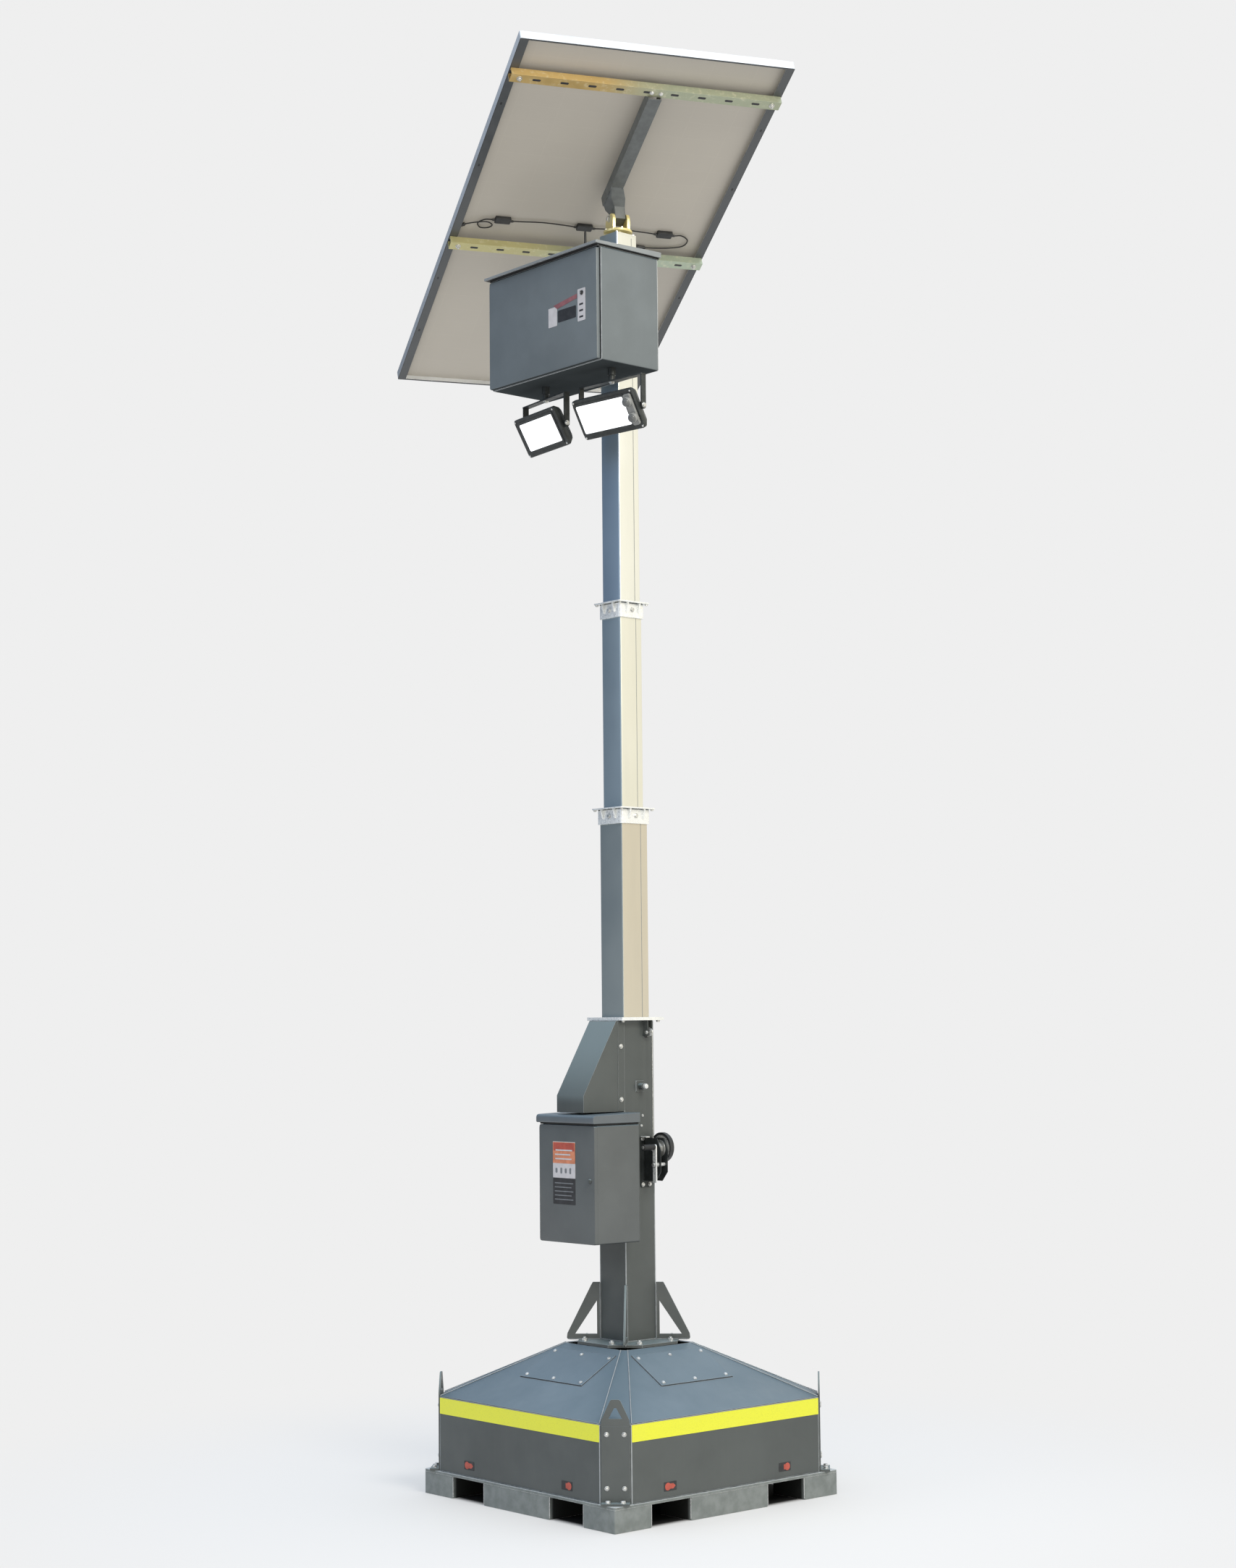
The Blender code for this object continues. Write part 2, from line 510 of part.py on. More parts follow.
def battery_box():
    side = STAGES[2]
    rings = [square_tube(side + 0.012, 0.0057, z, z + 0.050) for z in CLAMP_ZS]
    plate = box(-0.120, 0.120, BOX_BACK + GAP, BOX_BACK + 0.006, BOX_Z0 + 0.030, BOX_Z1 - 0.030)
    links = [box(-0.035, 0.035, BOX_BACK + 0.004, -side / 2 - 0.004, z, z + 0.050) for z in CLAMP_ZS]
    node("box_bracket", join(plate, *links, *rings), "galvanised", "mast_stage_3")
    front = BOX_FRONT + DOOR_T + GAP
    shell = open_box(BOX_HALF, front, BOX_BACK, BOX_Z0, BOX_Z1, 0.0025)
    node("battery_box_shell", shell, "grey_paint", "box_bracket")
    low, out = BOX_Z1 + GAP, BOX_HALF + 0.010
    back, lip = BOX_BACK + 0.010, BOX_FRONT - 0.018
    lid = [(back, low), (lip, low), (lip, low + 0.010), (back, low + 0.020)]
    node("battery_box_lid", prism(lid, "X", -out, out), "grey_paint", "battery_box_shell")
    hinge = (-BOX_HALF - 0.004, BOX_FRONT - 0.002, (BOX_Z0 + BOX_Z1) / 2)
    pan = door_panel(BOX_HALF - 0.005, BOX_FRONT, BOX_Z0 + 0.004, BOX_Z1 - 0.002, DOOR_T)
    node("battery_box_door", moved(pan, -0.005, 0.0, 0.0), "grey_paint", "battery_box_shell", hinge)
    at = (BOX_HALF - 0.094, BOX_FRONT, BOX_Z0 + 0.270)
    node("battery_box_latch", latch(at[0], at[2], BOX_FRONT), "black_plastic", "battery_box_door", at)
    for index, x in enumerate((-0.150, 0.150), start=1):
        case = box(x - 0.130, x + 0.130, -0.300, -0.130, BOX_Z0 + 0.003, BOX_Z0 + 0.210)
        low_z, high_z = BOX_Z0 + 0.208, BOX_Z0 + 0.222
        posts = [cylinder("Z", x + s * 0.095, -0.155, 0.009, low_z, high_z, 12) for s in (-1, 1)]
        node(f"battery_{index}", join(case, *posts), "battery_case", "battery_box_shell")
    mast = [(0.013, low + 0.016), (0.013, low + 0.030), (0.005, low + 0.040), (0.0045, low + 0.185)]
    rod = loft([[(a, b, z) for a, b in circle(-0.050, -0.125, r, 12)] for r, z in mast])
    node("antenna", cut(rod, lid_slope()), "black_plastic", "battery_box_lid")


def lid_slope():
    """The room the lid takes, a hair larger, used to seat the antenna on it."""
    low = BOX_Z1 + GAP
    y0, y1 = BOX_FRONT - 0.018, BOX_BACK + 0.010
    profile = [(y1, low - 0.01), (y0, low - 0.01), (y0, low + 0.010 + GAP), (y1, low + 0.020 + GAP)]
    return prism(profile, "X", -0.4, 0.4)


def floodlight(side, x, pan, tilt, half, lens_left, lens_right):
    """A housing that tilts in a yoke, which turns on a bolt under the battery box."""
    arm, drop = 0.012, YOKE_TOP - LIGHT_Z
    top = box(-half - 0.0085, half + 0.0085, -0.014, 0.014, -0.005, 0.0)
    out = half + 0.0055
    arms = [box(s * out - 0.003, s * out + 0.003, -arm, arm, -drop - 0.014, -0.001) for s in (-1, 1)]
    stem = cylinder("Z", 0.0, 0.0, 0.012, -0.003, BOX_Z0 - YOKE_TOP - 0.0005, 20)
    pins = [cylinder("X", 0.0, -drop, 0.006, s * (half + 0.0015), s * (half + 0.016), 12) for s in (-1, 1)]
    yoke = join(top, *arms, stem, *pins)
    name = f"light_yoke_{side}"
    at, turned_by = (x, LIGHT_Y, YOKE_TOP), (0.0, 0.0, math.radians(pan))
    node(name, yoke, "black_metal", "battery_box_shell", at, turned_by, local=True)
    front, back = -LIGHT_D * 0.6, LIGHT_D * 0.4
    h = LIGHT_H / 2
    rings = ((half, h, front), (half, h, front + 0.014), (half - 0.02, h - 0.015, back))
    body = loft([[(-w, y, -k), (w, y, -k), (w, y, k), (-w, y, k)] for w, k, y in rings])
    recess = box(lens_left - 0.002, lens_right + 0.002, front - 0.01, front + 0.005, -h + 0.020, h - 0.020)
    fins = [box(x - 0.002, x + 0.002, back - 0.003, back + 0.010, -h + 0.022, h - 0.022)
            for x in [0.034 * (i - 2.5) for i in range(6)]]
    ends = [box(s * (half - 0.012) - 0.010, s * (half - 0.012) + 0.010, -0.012, 0.012, -0.014, 0.014)
            for s in (-1, 1)]
    housing = join(cut(body, recess), *fins, *ends)
    lamp = f"light_housing_{side}"
    node(lamp, housing, "black_metal", name, (0.0, 0.0, -drop), (math.radians(tilt), 0.0, 0.0), local=True)
    glass = box(lens_left, lens_right, front + 0.001, front + 0.0047, -h + 0.0225, h - 0.0225)
    node(f"light_lens_{side}", glass, "lens", lamp, local=True)


def sensor():
    """Motion and dusk sensor heads on the face of the right floodlight."""
    front, x = -LIGHT_D * 0.6 - GAP, SENSOR_X
    base = box(x - 0.016, x + 0.016, front - 0.010, front, -0.060, 0.062)
    domes = []
    for z in (0.034, -0.028):
        rings = ((0.019, -0.008), (0.019, -0.020), (0.015, -0.029), (0.007, -0.033))
        domes.append(loft([[(a, front + y, b) for a, b in circle(x, z, r, 16)] for r, y in rings]))
    node("motion_sensor", join(base, *domes), "white_plastic", "light_housing_right", local=True)


# ---- head and solar panel ----

def head():
    base = HEAD_Z + 0.0165
    foot = cylinder("Z", 0.0, 0.0, 0.056, base, base + 0.010, 32)
    ears = []
    for s in (-1, 1):
        x = s * (ARM_HALF + 0.001 + EAR_T / 2)
        half = [(0.045, base + 0.005), (0.045, PIVOT_Z - 0.006), (0.030, PIVOT_Z + 0.014)]
        outline = half + [(-y, z) for y, z in reversed(half)]
        ears.append(prism(outline, "X", x - EAR_T / 2, x + EAR_T / 2))
    bolt = cylinder("X", 0.0, PIVOT_Z, 0.008, -0.046, 0.046)
    clevis = about_z(join(foot, *ears, bolt), PANEL_TURN)
    node("head_clevis", clevis, "zinc_yellow", "mast_stage_3", (0.0, 0.0, HEAD_Z))


def panel():
    """Everything that tilts, built in the panel's own frame about the pivot."""
    px, py, pz = PANEL_AT
    rail_z = pz - RAIL_D - GAP
    spine_low = pz - SPINE_D

    def ring(x0, x1, y0, y1, z):
        return [(x0, y0, z), (x1, y0, z), (x1, y1, z), (x0, y1, z)]

    arm = loft([
        ring(-ARM_HALF, ARM_HALF, -0.020, 0.030, -0.020), ring(-ARM_HALF, ARM_HALF, -0.020, 0.040, 0.030),
        ring(-0.018, 0.042, -0.012, 0.070, 0.048), ring(0.002, 0.050, -0.003, 0.115, spine_low + 0.003),
    ])
    bore = cylinder("X", 0.0, 0.0, 0.0081, -0.1, 0.1)
    turn = (math.radians(PANEL_TILT), 0.0, math.radians(PANEL_TURN))
    pivot = (0.0, 0.0, PIVOT_Z - ORIGIN["head_clevis"].z)
    half = RAIL_W / 2
    low, high = -0.005, RAIL_UP - half - GAP
    left, right = SPINE_X - SPINE_HALF, SPINE_X + SPINE_HALF
    channel = cut(box(left, right, low, high, spine_low, pz - 0.001),
                  box(left + 0.004, right - 0.004, -1.0, 1.0, spine_low + 0.004, 1.0))
    spine = cut(join(channel, arm), bore)
    node("tilt_spine", spine, "dark_paint", "head_clevis", pivot, turn, local=True)
    for name, y in (("rail_upper", RAIL_UP), ("rail_lower", RAIL_DOWN)):
        reach = PANEL_W / 2 - 0.004
        rail = cut(box(px - reach, px + reach, y - half, y + half, rail_z, pz - GAP),
                   box(px - 1.0, px + 1.0, y - half + 0.003, y + half - 0.003, rail_z + 0.003, 1.0))
        node(name, rail, "zinc_yellow", "tilt_spine", local=True)
    panel_module(px, py, pz)


def panel_module(px, py, pz):
    hx, hy = PANEL_W / 2, PANEL_L / 2
    top = pz + FRAME_D

    def slab(inset, low, high, ends=None):
        y = hy - (inset if ends is None else ends)
        return box(px - hx + inset, px + hx - inset, py - y, py + y, low, high)

    rim = slab(0.0, pz, top)
    frame = cut(rim, slab(SIDE_LIP, pz - 0.01, pz + 0.010, END_LIP), slab(0.002, pz + 0.002, top - 0.0065),
                slab(0.010, top - 0.010, top + 0.010))
    node("panel_frame", frame, "aluminium", "tilt_spine", local=True)
    node("panel_laminate", slab(0.0025, top - 0.012, top - 0.0068), "laminate", "panel_frame", local=True)
    under, y = top - 0.012 - GAP, py + JUNCTION_RISE
    for index, step in enumerate((-1, 0, 1), start=1):
        x = px + JUNCTION_STEP * step
        case = box(x - 0.032, x + 0.032, y - 0.016, y + 0.016, under - 0.014, under)
        ends = [cylinder("X", y, under - 0.008, 0.005, x + a, x + a + 0.02, 8) for a in (-0.046, 0.026)]
        node(f"junction_box_{index}", join(case, *ends), "rubber", "panel_frame", local=True)


def main():
    for obj in list(bpy.data.objects):
        bpy.data.objects.remove(obj)
    pallet()
    ballast()
    corner_plates()
    pyramid()
    hatches()
    base_flange()
    lower_post()
    stages()
    cable_housing()
    cabinet()
    winch_frame()
    winch_moving()
    rope_and_pulley()
    lock_pin()
    battery_box()
    for light in LIGHTS:
        floodlight(*light)
    sensor()
    head()
    panel()


main()
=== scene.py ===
"""Solar lighting tower on a fork-lift ballast base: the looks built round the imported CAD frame."""
import json
import math

import bmesh
import bpy
from mathutils import Matrix, Vector


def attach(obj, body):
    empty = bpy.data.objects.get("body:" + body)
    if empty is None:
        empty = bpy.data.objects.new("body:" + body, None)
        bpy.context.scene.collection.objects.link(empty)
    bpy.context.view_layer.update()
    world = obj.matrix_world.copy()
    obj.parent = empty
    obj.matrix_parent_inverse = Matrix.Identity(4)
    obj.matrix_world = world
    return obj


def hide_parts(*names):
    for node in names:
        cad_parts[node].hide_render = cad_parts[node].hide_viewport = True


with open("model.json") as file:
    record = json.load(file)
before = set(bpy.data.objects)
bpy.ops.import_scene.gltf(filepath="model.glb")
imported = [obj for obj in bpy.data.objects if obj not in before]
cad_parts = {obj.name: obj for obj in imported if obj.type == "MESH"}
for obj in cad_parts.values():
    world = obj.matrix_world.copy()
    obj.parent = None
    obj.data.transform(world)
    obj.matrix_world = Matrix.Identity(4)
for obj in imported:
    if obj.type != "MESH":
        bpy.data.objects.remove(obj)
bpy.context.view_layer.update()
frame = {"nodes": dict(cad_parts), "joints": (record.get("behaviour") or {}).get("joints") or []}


# ---- shapes ----

def rect(a0, a1, b0, b1):
    return [(a0, b0), (a1, b0), (a1, b1), (a0, b1)]


def rounded(a0, a1, b0, b1, r, steps=5):
    """Outline of a rectangle with round corners."""
    points = []
    corners = ((a1 - r, b1 - r), (a0 + r, b1 - r), (a0 + r, b0 + r), (a1 - r, b0 + r))
    for corner, (ca, cb) in enumerate(corners):
        for k in range(steps + 1):
            t = math.radians(90 * corner + 90 * k / steps)
            points.append((ca + r * math.cos(t), cb + r * math.sin(t)))
    return points


def square(half, r, steps=5):
    return rounded(-half, half, -half, half, r, steps)


def shrunk(a0, a1, b0, b1, by, r, steps=5):
    """The rounded rectangle that lies one step inside another."""
    return rounded(a0 + by, a1 - by, b0 + by, b1 - by, r, steps)


def ring(a, b, r, count=24, turn=0.0):
    turns = [turn + 2 * math.pi * k / count for k in range(count)]
    return [(a + r * math.cos(t), b + r * math.sin(t)) for t in turns]


def around(p, side, other, r, count):
    """Points of a circle across a line through p."""
    turns = [2 * math.pi * i / count for i in range(count)]
    return [p + side * (r * math.cos(t)) + other * (r * math.sin(t)) for t in turns]


def octagon(half, cut):
    k = half - cut
    return [(-k, -half), (k, -half), (half, -k), (half, k), (k, half), (-k, half), (-half, k), (-half, -k)]


def place(axis, a, b, t):
    return {"X": (t, a, b), "Y": (a, t, b), "Z": (a, b, t)}[axis]


def facing(at, normal):
    """Matrix whose Z looks along normal, at a point."""
    return Matrix.Translation(at) @ Vector(normal).to_track_quat("Z", "Y").to_matrix().to_4x4()


def turn_z(degrees):
    return Matrix.Rotation(math.radians(degrees), 4, "Z")


class Shape:
    """Closed surfaces gathered into one piece. m places what is added next, and paint picks its material."""

    def __init__(self, world=None):
        self.verts, self.faces, self.slots = [], [], []
        self.world, self.m, self.paint = world or Matrix(), Matrix(), 0

    def add(self, verts, faces):
        start = len(self.verts)
        self.verts += [tuple(self.m @ Vector(v)) for v in verts]
        self.faces += [tuple(start + i for i in f) for f in faces]
        self.slots += [self.paint] * len(faces)
        return self

    def loft(self, rings, caps=True):
        n = len(rings[0])
        faces = [tuple(range(n)), tuple(range((len(rings) - 1) * n, len(rings) * n))] if caps else []
        for k in range(len(rings) - 1):
            for i in range(n):
                j = (i + 1) % n
                faces.append((k * n + i, k * n + j, (k + 1) * n + j, (k + 1) * n + i))
        if not caps:
            last = (len(rings) - 1) * n
            faces += [(last + i, last + (i + 1) % n, (i + 1) % n, i) for i in range(n)]
        return self.add([v for r in rings for v in r], faces)

    def prism(self, outline, axis, low, high):
        return self.loft([[place(axis, a, b, t) for a, b in outline] for t in (low, high)])

    def box(self, x0, x1, y0, y1, z0, z1):
        return self.prism(rect(x0, x1, y0, y1), "Z", z0, z1)

    def hollow(self, outer, inner, axis, low, high):
        """A tube between two outlines of equal count."""
        sides = ((outer, low), (outer, high), (inner, high), (inner, low))
        return self.loft([[place(axis, a, b, t) for a, b in line] for line, t in sides], caps=False)

    def rod(self, axis, a, b, r, low, high, count=24):
        return self.prism(ring(a, b, r, count), axis, low, high)

    def turned(self, axis, a, b, profile, count=32):
        """A body of revolution from (radius, height) pairs."""
        return self.loft([[place(axis, x, y, t) for x, y in ring(a, b, r, count)] for r, t in profile])

    def pipe(self, points, r, count=10):
        pts = [Vector(p) for p in points]
        rings, side = [], None
        for k, p in enumerate(pts):
            d = (pts[min(k + 1, len(pts) - 1)] - pts[max(k - 1, 0)]).normalized()
            if side is None:
                side = d.orthogonal().normalized()
            side = (side - d * side.dot(d)).normalized()
            rings.append(around(p, side, d.cross(side), r, count))
        return self.loft(rings)

    def bolt(self, at, normal, r=0.009, tall=0.0065, washer=True, tail=0.0):
        """Hexagon head on a washer, with a stud end where asked."""
        kept, self.m = self.m, self.m @ facing(at, normal)
        base = 0.0
        if washer:
            self.turned("Z", 0, 0, ((r * 1.25, 0.0), (r * 1.3, 0.0006), (r * 1.25, 0.0016)), 20)
            base = 0.0014
        self.loft([[(a, b, z) for a, b in ring(0, 0, q, 6)] for q, z in
                   ((r, base), (r, base + tall * 0.8), (r * 0.84, base + tall))])
        if tail:
            end = base + tall + tail
            self.turned("Z", 0, 0, ((r * 0.52, base), (r * 0.52, end), (r * 0.4, end + 0.001)), 14)
        self.m = kept

    def dome_bolt(self, at, normal, r=0.0085, tall=0.005):
        kept, self.m = self.m, self.m @ facing(at, normal)
        profile = ((r * 1.15, 0.0), (r * 1.15, 0.001), (r, 0.0012), (r * 0.85, tall * 0.75),
                   (r * 0.45, tall))
        self.turned("Z", 0, 0, profile, 20)
        self.m = kept

    def bead(self, a, b, r=0.003, count=8):
        """A weld bead between two points, with its ripples."""
        a, b = Vector(a), Vector(b)
        steps = max(6, int((b - a).length / 0.0035))
        side = (b - a).orthogonal().normalized()
        other = (b - a).normalized().cross(side)
        rings = []
        for k in range(steps + 1):
            q = r * (0.82 + 0.18 * abs(math.sin(k * 1.9))) * (0.5 if k in (0, steps) else 1.0)
            rings.append(around(a.lerp(b, k / steps), side, other, q, count))
        return self.loft(rings)

    def done(self, name, body, looks, slot, replaces=(), bevel=0.0012, segments=2, angle=34, bright=None):
        mesh = bpy.data.meshes.new(name)
        mesh.from_pydata(self.verts, [], self.faces)
        work = bmesh.new()
        work.from_mesh(mesh)
        bmesh.ops.recalc_face_normals(work, faces=work.faces)
        work.to_mesh(mesh)
        work.free()
        mesh.polygons.foreach_set("material_index", self.slots)
        for look in looks if isinstance(looks, (list, tuple)) else [looks]:
            mesh.materials.append(look)
        mesh.polygons.foreach_set("use_smooth", [True] * len(mesh.polygons))
        mesh.set_sharp_from_angle(angle=math.radians(angle))
        made = bpy.data.objects.new(name, mesh)
        bpy.context.scene.collection.objects.link(made)
        made.matrix_world = self.world
        if bevel:
            edge = made.modifiers.new("edge", "BEVEL")
            edge.width, edge.segments = bevel, segments
            edge.limit_method, edge.angle_limit = "ANGLE", math.radians(angle)
            edge.harden_normals = True
            # Bevel faces can take a material of their own: a painted highlight along the edges.
            if bright is not None:
                edge.material = bright
        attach(made, body)
        if replaces:
            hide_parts(*replaces)
        return made


# ---- materials ----

def tint(colour, times, plus=0.0):
    return tuple(min(1.0, c * times + plus) for c in colour)


class Look:
    """A small builder for node materials and for the world's nodes."""

    def __init__(self, name, world=None):
        self.material = world or bpy.data.materials.new(name)
        self.material.use_nodes = True
        self.tree = self.material.node_tree
        self.shader = self.tree.nodes["Background" if world else "Principled BSDF"]
        self.where = self.node("ShaderNodeTexCoord").outputs["Generated" if world else "Object"]

    def put(self, socket, value):
        if isinstance(value, bpy.types.NodeSocket):
            self.tree.links.new(value, socket)
        elif isinstance(value, tuple) and len(value) == 3 and socket.type == "RGBA":
            socket.default_value = (*value, 1.0)
        else:
            socket.default_value = value

    def node(self, kind, inputs=None, **settings):
        made = self.tree.nodes.new(kind)
        for key, value in settings.items():
            setattr(made, key, value)
        for key, value in (inputs or {}).items():
            self.put(made.inputs[key], value)
        return made

    def stretched(self, scale):
        return self.node("ShaderNodeMapping", {"Vector": self.where, "Scale": scale}).outputs["Vector"]

    def noise(self, scale, detail=4.0, stretch=(1.0, 1.0, 1.0), rough=0.55):
        inputs = {"Vector": self.stretched(stretch), "Scale": scale, "Detail": detail, "Roughness": rough}
        return self.node("ShaderNodeTexNoise", inputs).outputs["Fac"]

    def cells(self, scale, feature="F1", output="Color"):
        inputs = {"Vector": self.where, "Scale": scale}
        return self.node("ShaderNodeTexVoronoi", inputs, feature=feature).outputs[output]

    def math(self, how, a, b=0.0):
        return self.node("ShaderNodeMath", {0: a, 1: b}, operation=how).outputs[0]

    def span(self, value, low, high, to_low=0.0, to_high=1.0):
        inputs = {"Value": value, "From Min": low, "From Max": high, "To Min": to_low, "To Max": to_high}
        return self.node("ShaderNodeMapRange", inputs, interpolation_type="SMOOTHSTEP").outputs["Result"]

    def mix(self, share, a, b):
        made = self.node("ShaderNodeMix", data_type="RGBA")
        for socket, value in ((made.inputs[0], share), (made.inputs[6], a), (made.inputs[7], b)):
            self.put(socket, value)
        return made.outputs[2]

    def grid(self, wide, tall, gap, one, two, mortar, offset=(0.0, 0.0, 0.0)):
        moved = self.node("ShaderNodeMapping", {"Vector": self.where, "Location": offset}).outputs["Vector"]
        inputs = {"Vector": moved, "Color1": one, "Color2": two, "Mortar": mortar, "Scale": 1.0,
                  "Mortar Size": gap, "Mortar Smooth": 0.1, "Brick Width": wide, "Row Height": tall}
        return self.node("ShaderNodeTexBrick", inputs, offset=0.0).outputs["Color"]

    def part(self, vector, axis):
        return self.node("ShaderNodeSeparateXYZ", {"Vector": vector}).outputs[axis]

    def up(self, axis="Z"):
        """How far the surface faces along one axis of the room."""
        return self.part(self.node("ShaderNodeNewGeometry").outputs["Normal"], axis)

    def off_centre(self):
        """Half the side of the square round the origin that a place lies on, in plan."""
        away = self.node("ShaderNodeVectorMath", {0: self.where}, operation="ABSOLUTE").outputs[0]
        return self.math("MAXIMUM", self.part(away, "X"), self.part(away, "Y"))

    def glow(self, strength):
        return self.node("ShaderNodeEmission", {"Color": (1.0, 1.0, 1.0), "Strength": strength}).outputs[0]

    def surface(self, socket):
        """Shows a shader of its own in place of the main one."""
        self.put(self.tree.nodes["Material Output"].inputs[0], socket)
        return self.material

    def bump(self, height, strength, distance):
        made = self.node("ShaderNodeBump", {"Height": height, "Strength": strength, "Distance": distance})
        self.put(self.shader.inputs["Normal"], made.outputs["Normal"])
        return self

    def set(self, **values):
        for key, value in values.items():
            self.put(self.shader.inputs[key.replace("_", " ")], value)
        return self


def painted(name, colour, rough=0.42, dust=0.06, sky_reflection=(0.105, 0.150, 0.182)):
    """Powder coat: run marks down the walls, dust and a painted sky reflection on what looks up, painted
    shade on the undersides.
    """
    look = Look(name)
    patches = look.span(look.noise(3.2, 5.0), 0.3, 0.7)
    tone = look.mix(patches, tint(colour, 0.90), tint(colour, 1.10, 0.002))
    marks = look.span(look.noise(14.0, 3.0, (3.0, 3.0, 0.18)), 0.52, 0.75, 0.0, 0.01)
    tone = look.mix(marks, tone, (0.32, 0.31, 0.28))
    upward = look.span(look.up(), 0.25, 0.95, 0.0, dust)
    dusty = look.math("MULTIPLY", upward, look.span(look.noise(7.0, 6.0), 0.25, 0.7))
    tone = look.mix(dusty, tone, (0.50, 0.48, 0.43))
    # Upward faces mix towards a blue-grey: a painted reflection of the sky.
    tone = look.mix(look.span(look.up(), 0.12, 0.45, 0.0, 0.65), tone, sky_reflection)
    # Downward faces go near black: painted shade on the undersides.
    tone = look.mix(look.span(look.up(), -0.9, -0.5, 0.85, 0.0), tone, (0.034, 0.039, 0.041))
    wear = look.span(look.noise(9.0, 4.0), 0.2, 0.8, rough - 0.07, rough + 0.12)
    look.set(Base_Color=tone, Roughness=wear)
    # Undersides also lose their specular and coat, which keeps the painted shade dark.
    shade = look.span(look.up(), -0.9, -0.5)
    look.set(Specular_IOR_Level=look.math("MULTIPLY", shade, 0.5))
    look.set(Coat_Weight=look.math("MULTIPLY", shade, 0.12), Coat_Roughness=0.35)
    return look.bump(look.noise(420.0, 2.0), 0.10, 0.0006).material


def zinc(name, colour, rough=0.36, metal=0.75, spangle=0.35, scale=70.0):
    """Hot-dip or plated steel: crystal patches, dull runs and fine scratches."""
    look = Look(name)
    split = look.node("ShaderNodeSeparateColor", {"Color": look.cells(scale)})
    flake = look.mix(split.outputs[0], tint(colour, 1 - spangle), tint(colour, 1 + spangle * 0.6))
    dull_and_shaded = look.span(look.noise(5.0, 5.0, (1.0, 1.0, 0.35)), 0.45, 0.75, 0.0, 0.45)
    tone = look.mix(dull_and_shaded, flake, tint(colour, 0.62))
    look.set(Base_Color=tone, Metallic=metal, Specular_IOR_Level=0.5)
    look.set(Roughness=look.span(split.outputs[1], 0.0, 1.0, rough - 0.08, rough + 0.14))
    return look.bump(look.noise(160.0, 3.0, (1.0, 1.0, 0.15)), 0.08, 0.0005).material


def plated(name, low, high, middle=0.0, wide=0.30):
    """Chromate over zinc, its hue running from one end of the part to the other along X."""
    look = Look(name)
    drift = look.math("MULTIPLY", look.noise(5.0, 4.0), 0.30)
    along = look.math("ADD", look.part(look.where, "X"), drift)
    tone = look.mix(look.span(along, middle - wide, middle + wide), low, high)
    tone = look.mix(look.span(look.noise(60.0, 3.0), 0.5, 0.8, 0.0, 0.35), tone, (0.80, 0.76, 0.56))
    look.set(Base_Color=tone, Metallic=0.45, Roughness=look.span(look.noise(30.0), 0.3, 0.7, 0.28, 0.45))
    return look.bump(look.noise(300.0, 2.0), 0.05, 0.0004).material


def plain(name, colour, rough=0.5, metal=0.0, vary=0.12, grain=0.06, scale=40.0):
    look = Look(name)
    share = look.span(look.noise(scale, 5.0), 0.3, 0.7)
    tone = look.mix(share, tint(colour, 1 - vary), tint(colour, 1 + vary))
    wear = look.span(look.noise(scale * 0.6), 0.2, 0.8, rough - 0.06, rough + 0.08)
    look.set(Base_Color=tone, Metallic=metal, Roughness=wear)
    return look.bump(look.noise(scale * 9, 2.0), grain, 0.0005).material


def tape():
    look = Look("reflective_tape")
    hexes = look.cells(260.0, "DISTANCE_TO_EDGE", "Distance")
    tone = look.mix(look.span(hexes, 0.0, 0.12), (0.56, 0.57, 0.02), (0.68, 0.68, 0.02))
    tone = look.mix(look.span(look.noise(6.0, 5.0), 0.5, 0.8, 0.0, 0.20), tone, (0.56, 0.56, 0.08))
    look.set(Base_Color=tone, Roughness=0.30, Coat_Weight=0.4, Coat_Roughness=0.15)
    # A faint painted glow that stands in for light thrown back by the tape.
    look.set(Emission_Color=(0.86, 0.86, 0.01), Emission_Strength=0.11)
    return look.bump(hexes, 0.15, 0.0003).material


def tube_zinc(name, bright, dull_and_shaded):
    """Smooth plated tube, with painted shade, darker and bluer, on its front face; the warmth of its other
    faces is partly a painted reflection.
    """
    look = Look(name)
    # Faces towards -Y take the second colour: painted shade on the front face.
    tone = look.mix(look.span(look.up("Y"), -0.85, -0.35), dull_and_shaded, bright)
    runs = look.span(look.noise(9.0, 5.0, (1.0, 1.0, 0.12)), 0.4, 0.75, 0.0, 0.12)
    tone = look.mix(runs, tone, tint(dull_and_shaded, 0.7))
    look.set(Base_Color=tone, Metallic=0.85, Roughness=look.span(look.noise(3.0), 0.2, 0.8, 0.31, 0.41))
    return look.bump(look.noise(160.0, 3.0, (1.0, 1.0, 0.15)), 0.05, 0.0004).material


def skid_zinc():
    """Dull zinc, with painted deep shade on the inner faces of the fork pockets and a painted highlight on
    its upward faces.
    """
    look = Look("skid_zinc")
    # Painted shade: the inner faces of the pockets go near black and lose their specular.
    inside = look.span(look.off_centre(), 0.525, 0.546, 1.0, 0.0)
    inside = look.math("MULTIPLY", inside, look.span(look.up(), 0.2, 0.6, 1.0, 0.0))
    patches = look.span(look.noise(24.0, 4.0), 0.3, 0.7)
    tone = look.mix(patches, (0.165, 0.182, 0.174), (0.225, 0.243, 0.235))
    # Upward faces turn pale: a painted highlight on the top of the skid.
    tone = look.mix(look.span(look.up(), 0.5, 0.95), tone, (0.52, 0.55, 0.55))
    look.set(Base_Color=look.mix(inside, tone, (0.018, 0.019, 0.018)), Metallic=0.1, Roughness=0.55)
    look.set(Specular_IOR_Level=look.span(inside, 0.0, 1.0, 0.4, 0.0))
    return look.bump(look.noise(160.0, 3.0), 0.08, 0.0005).material


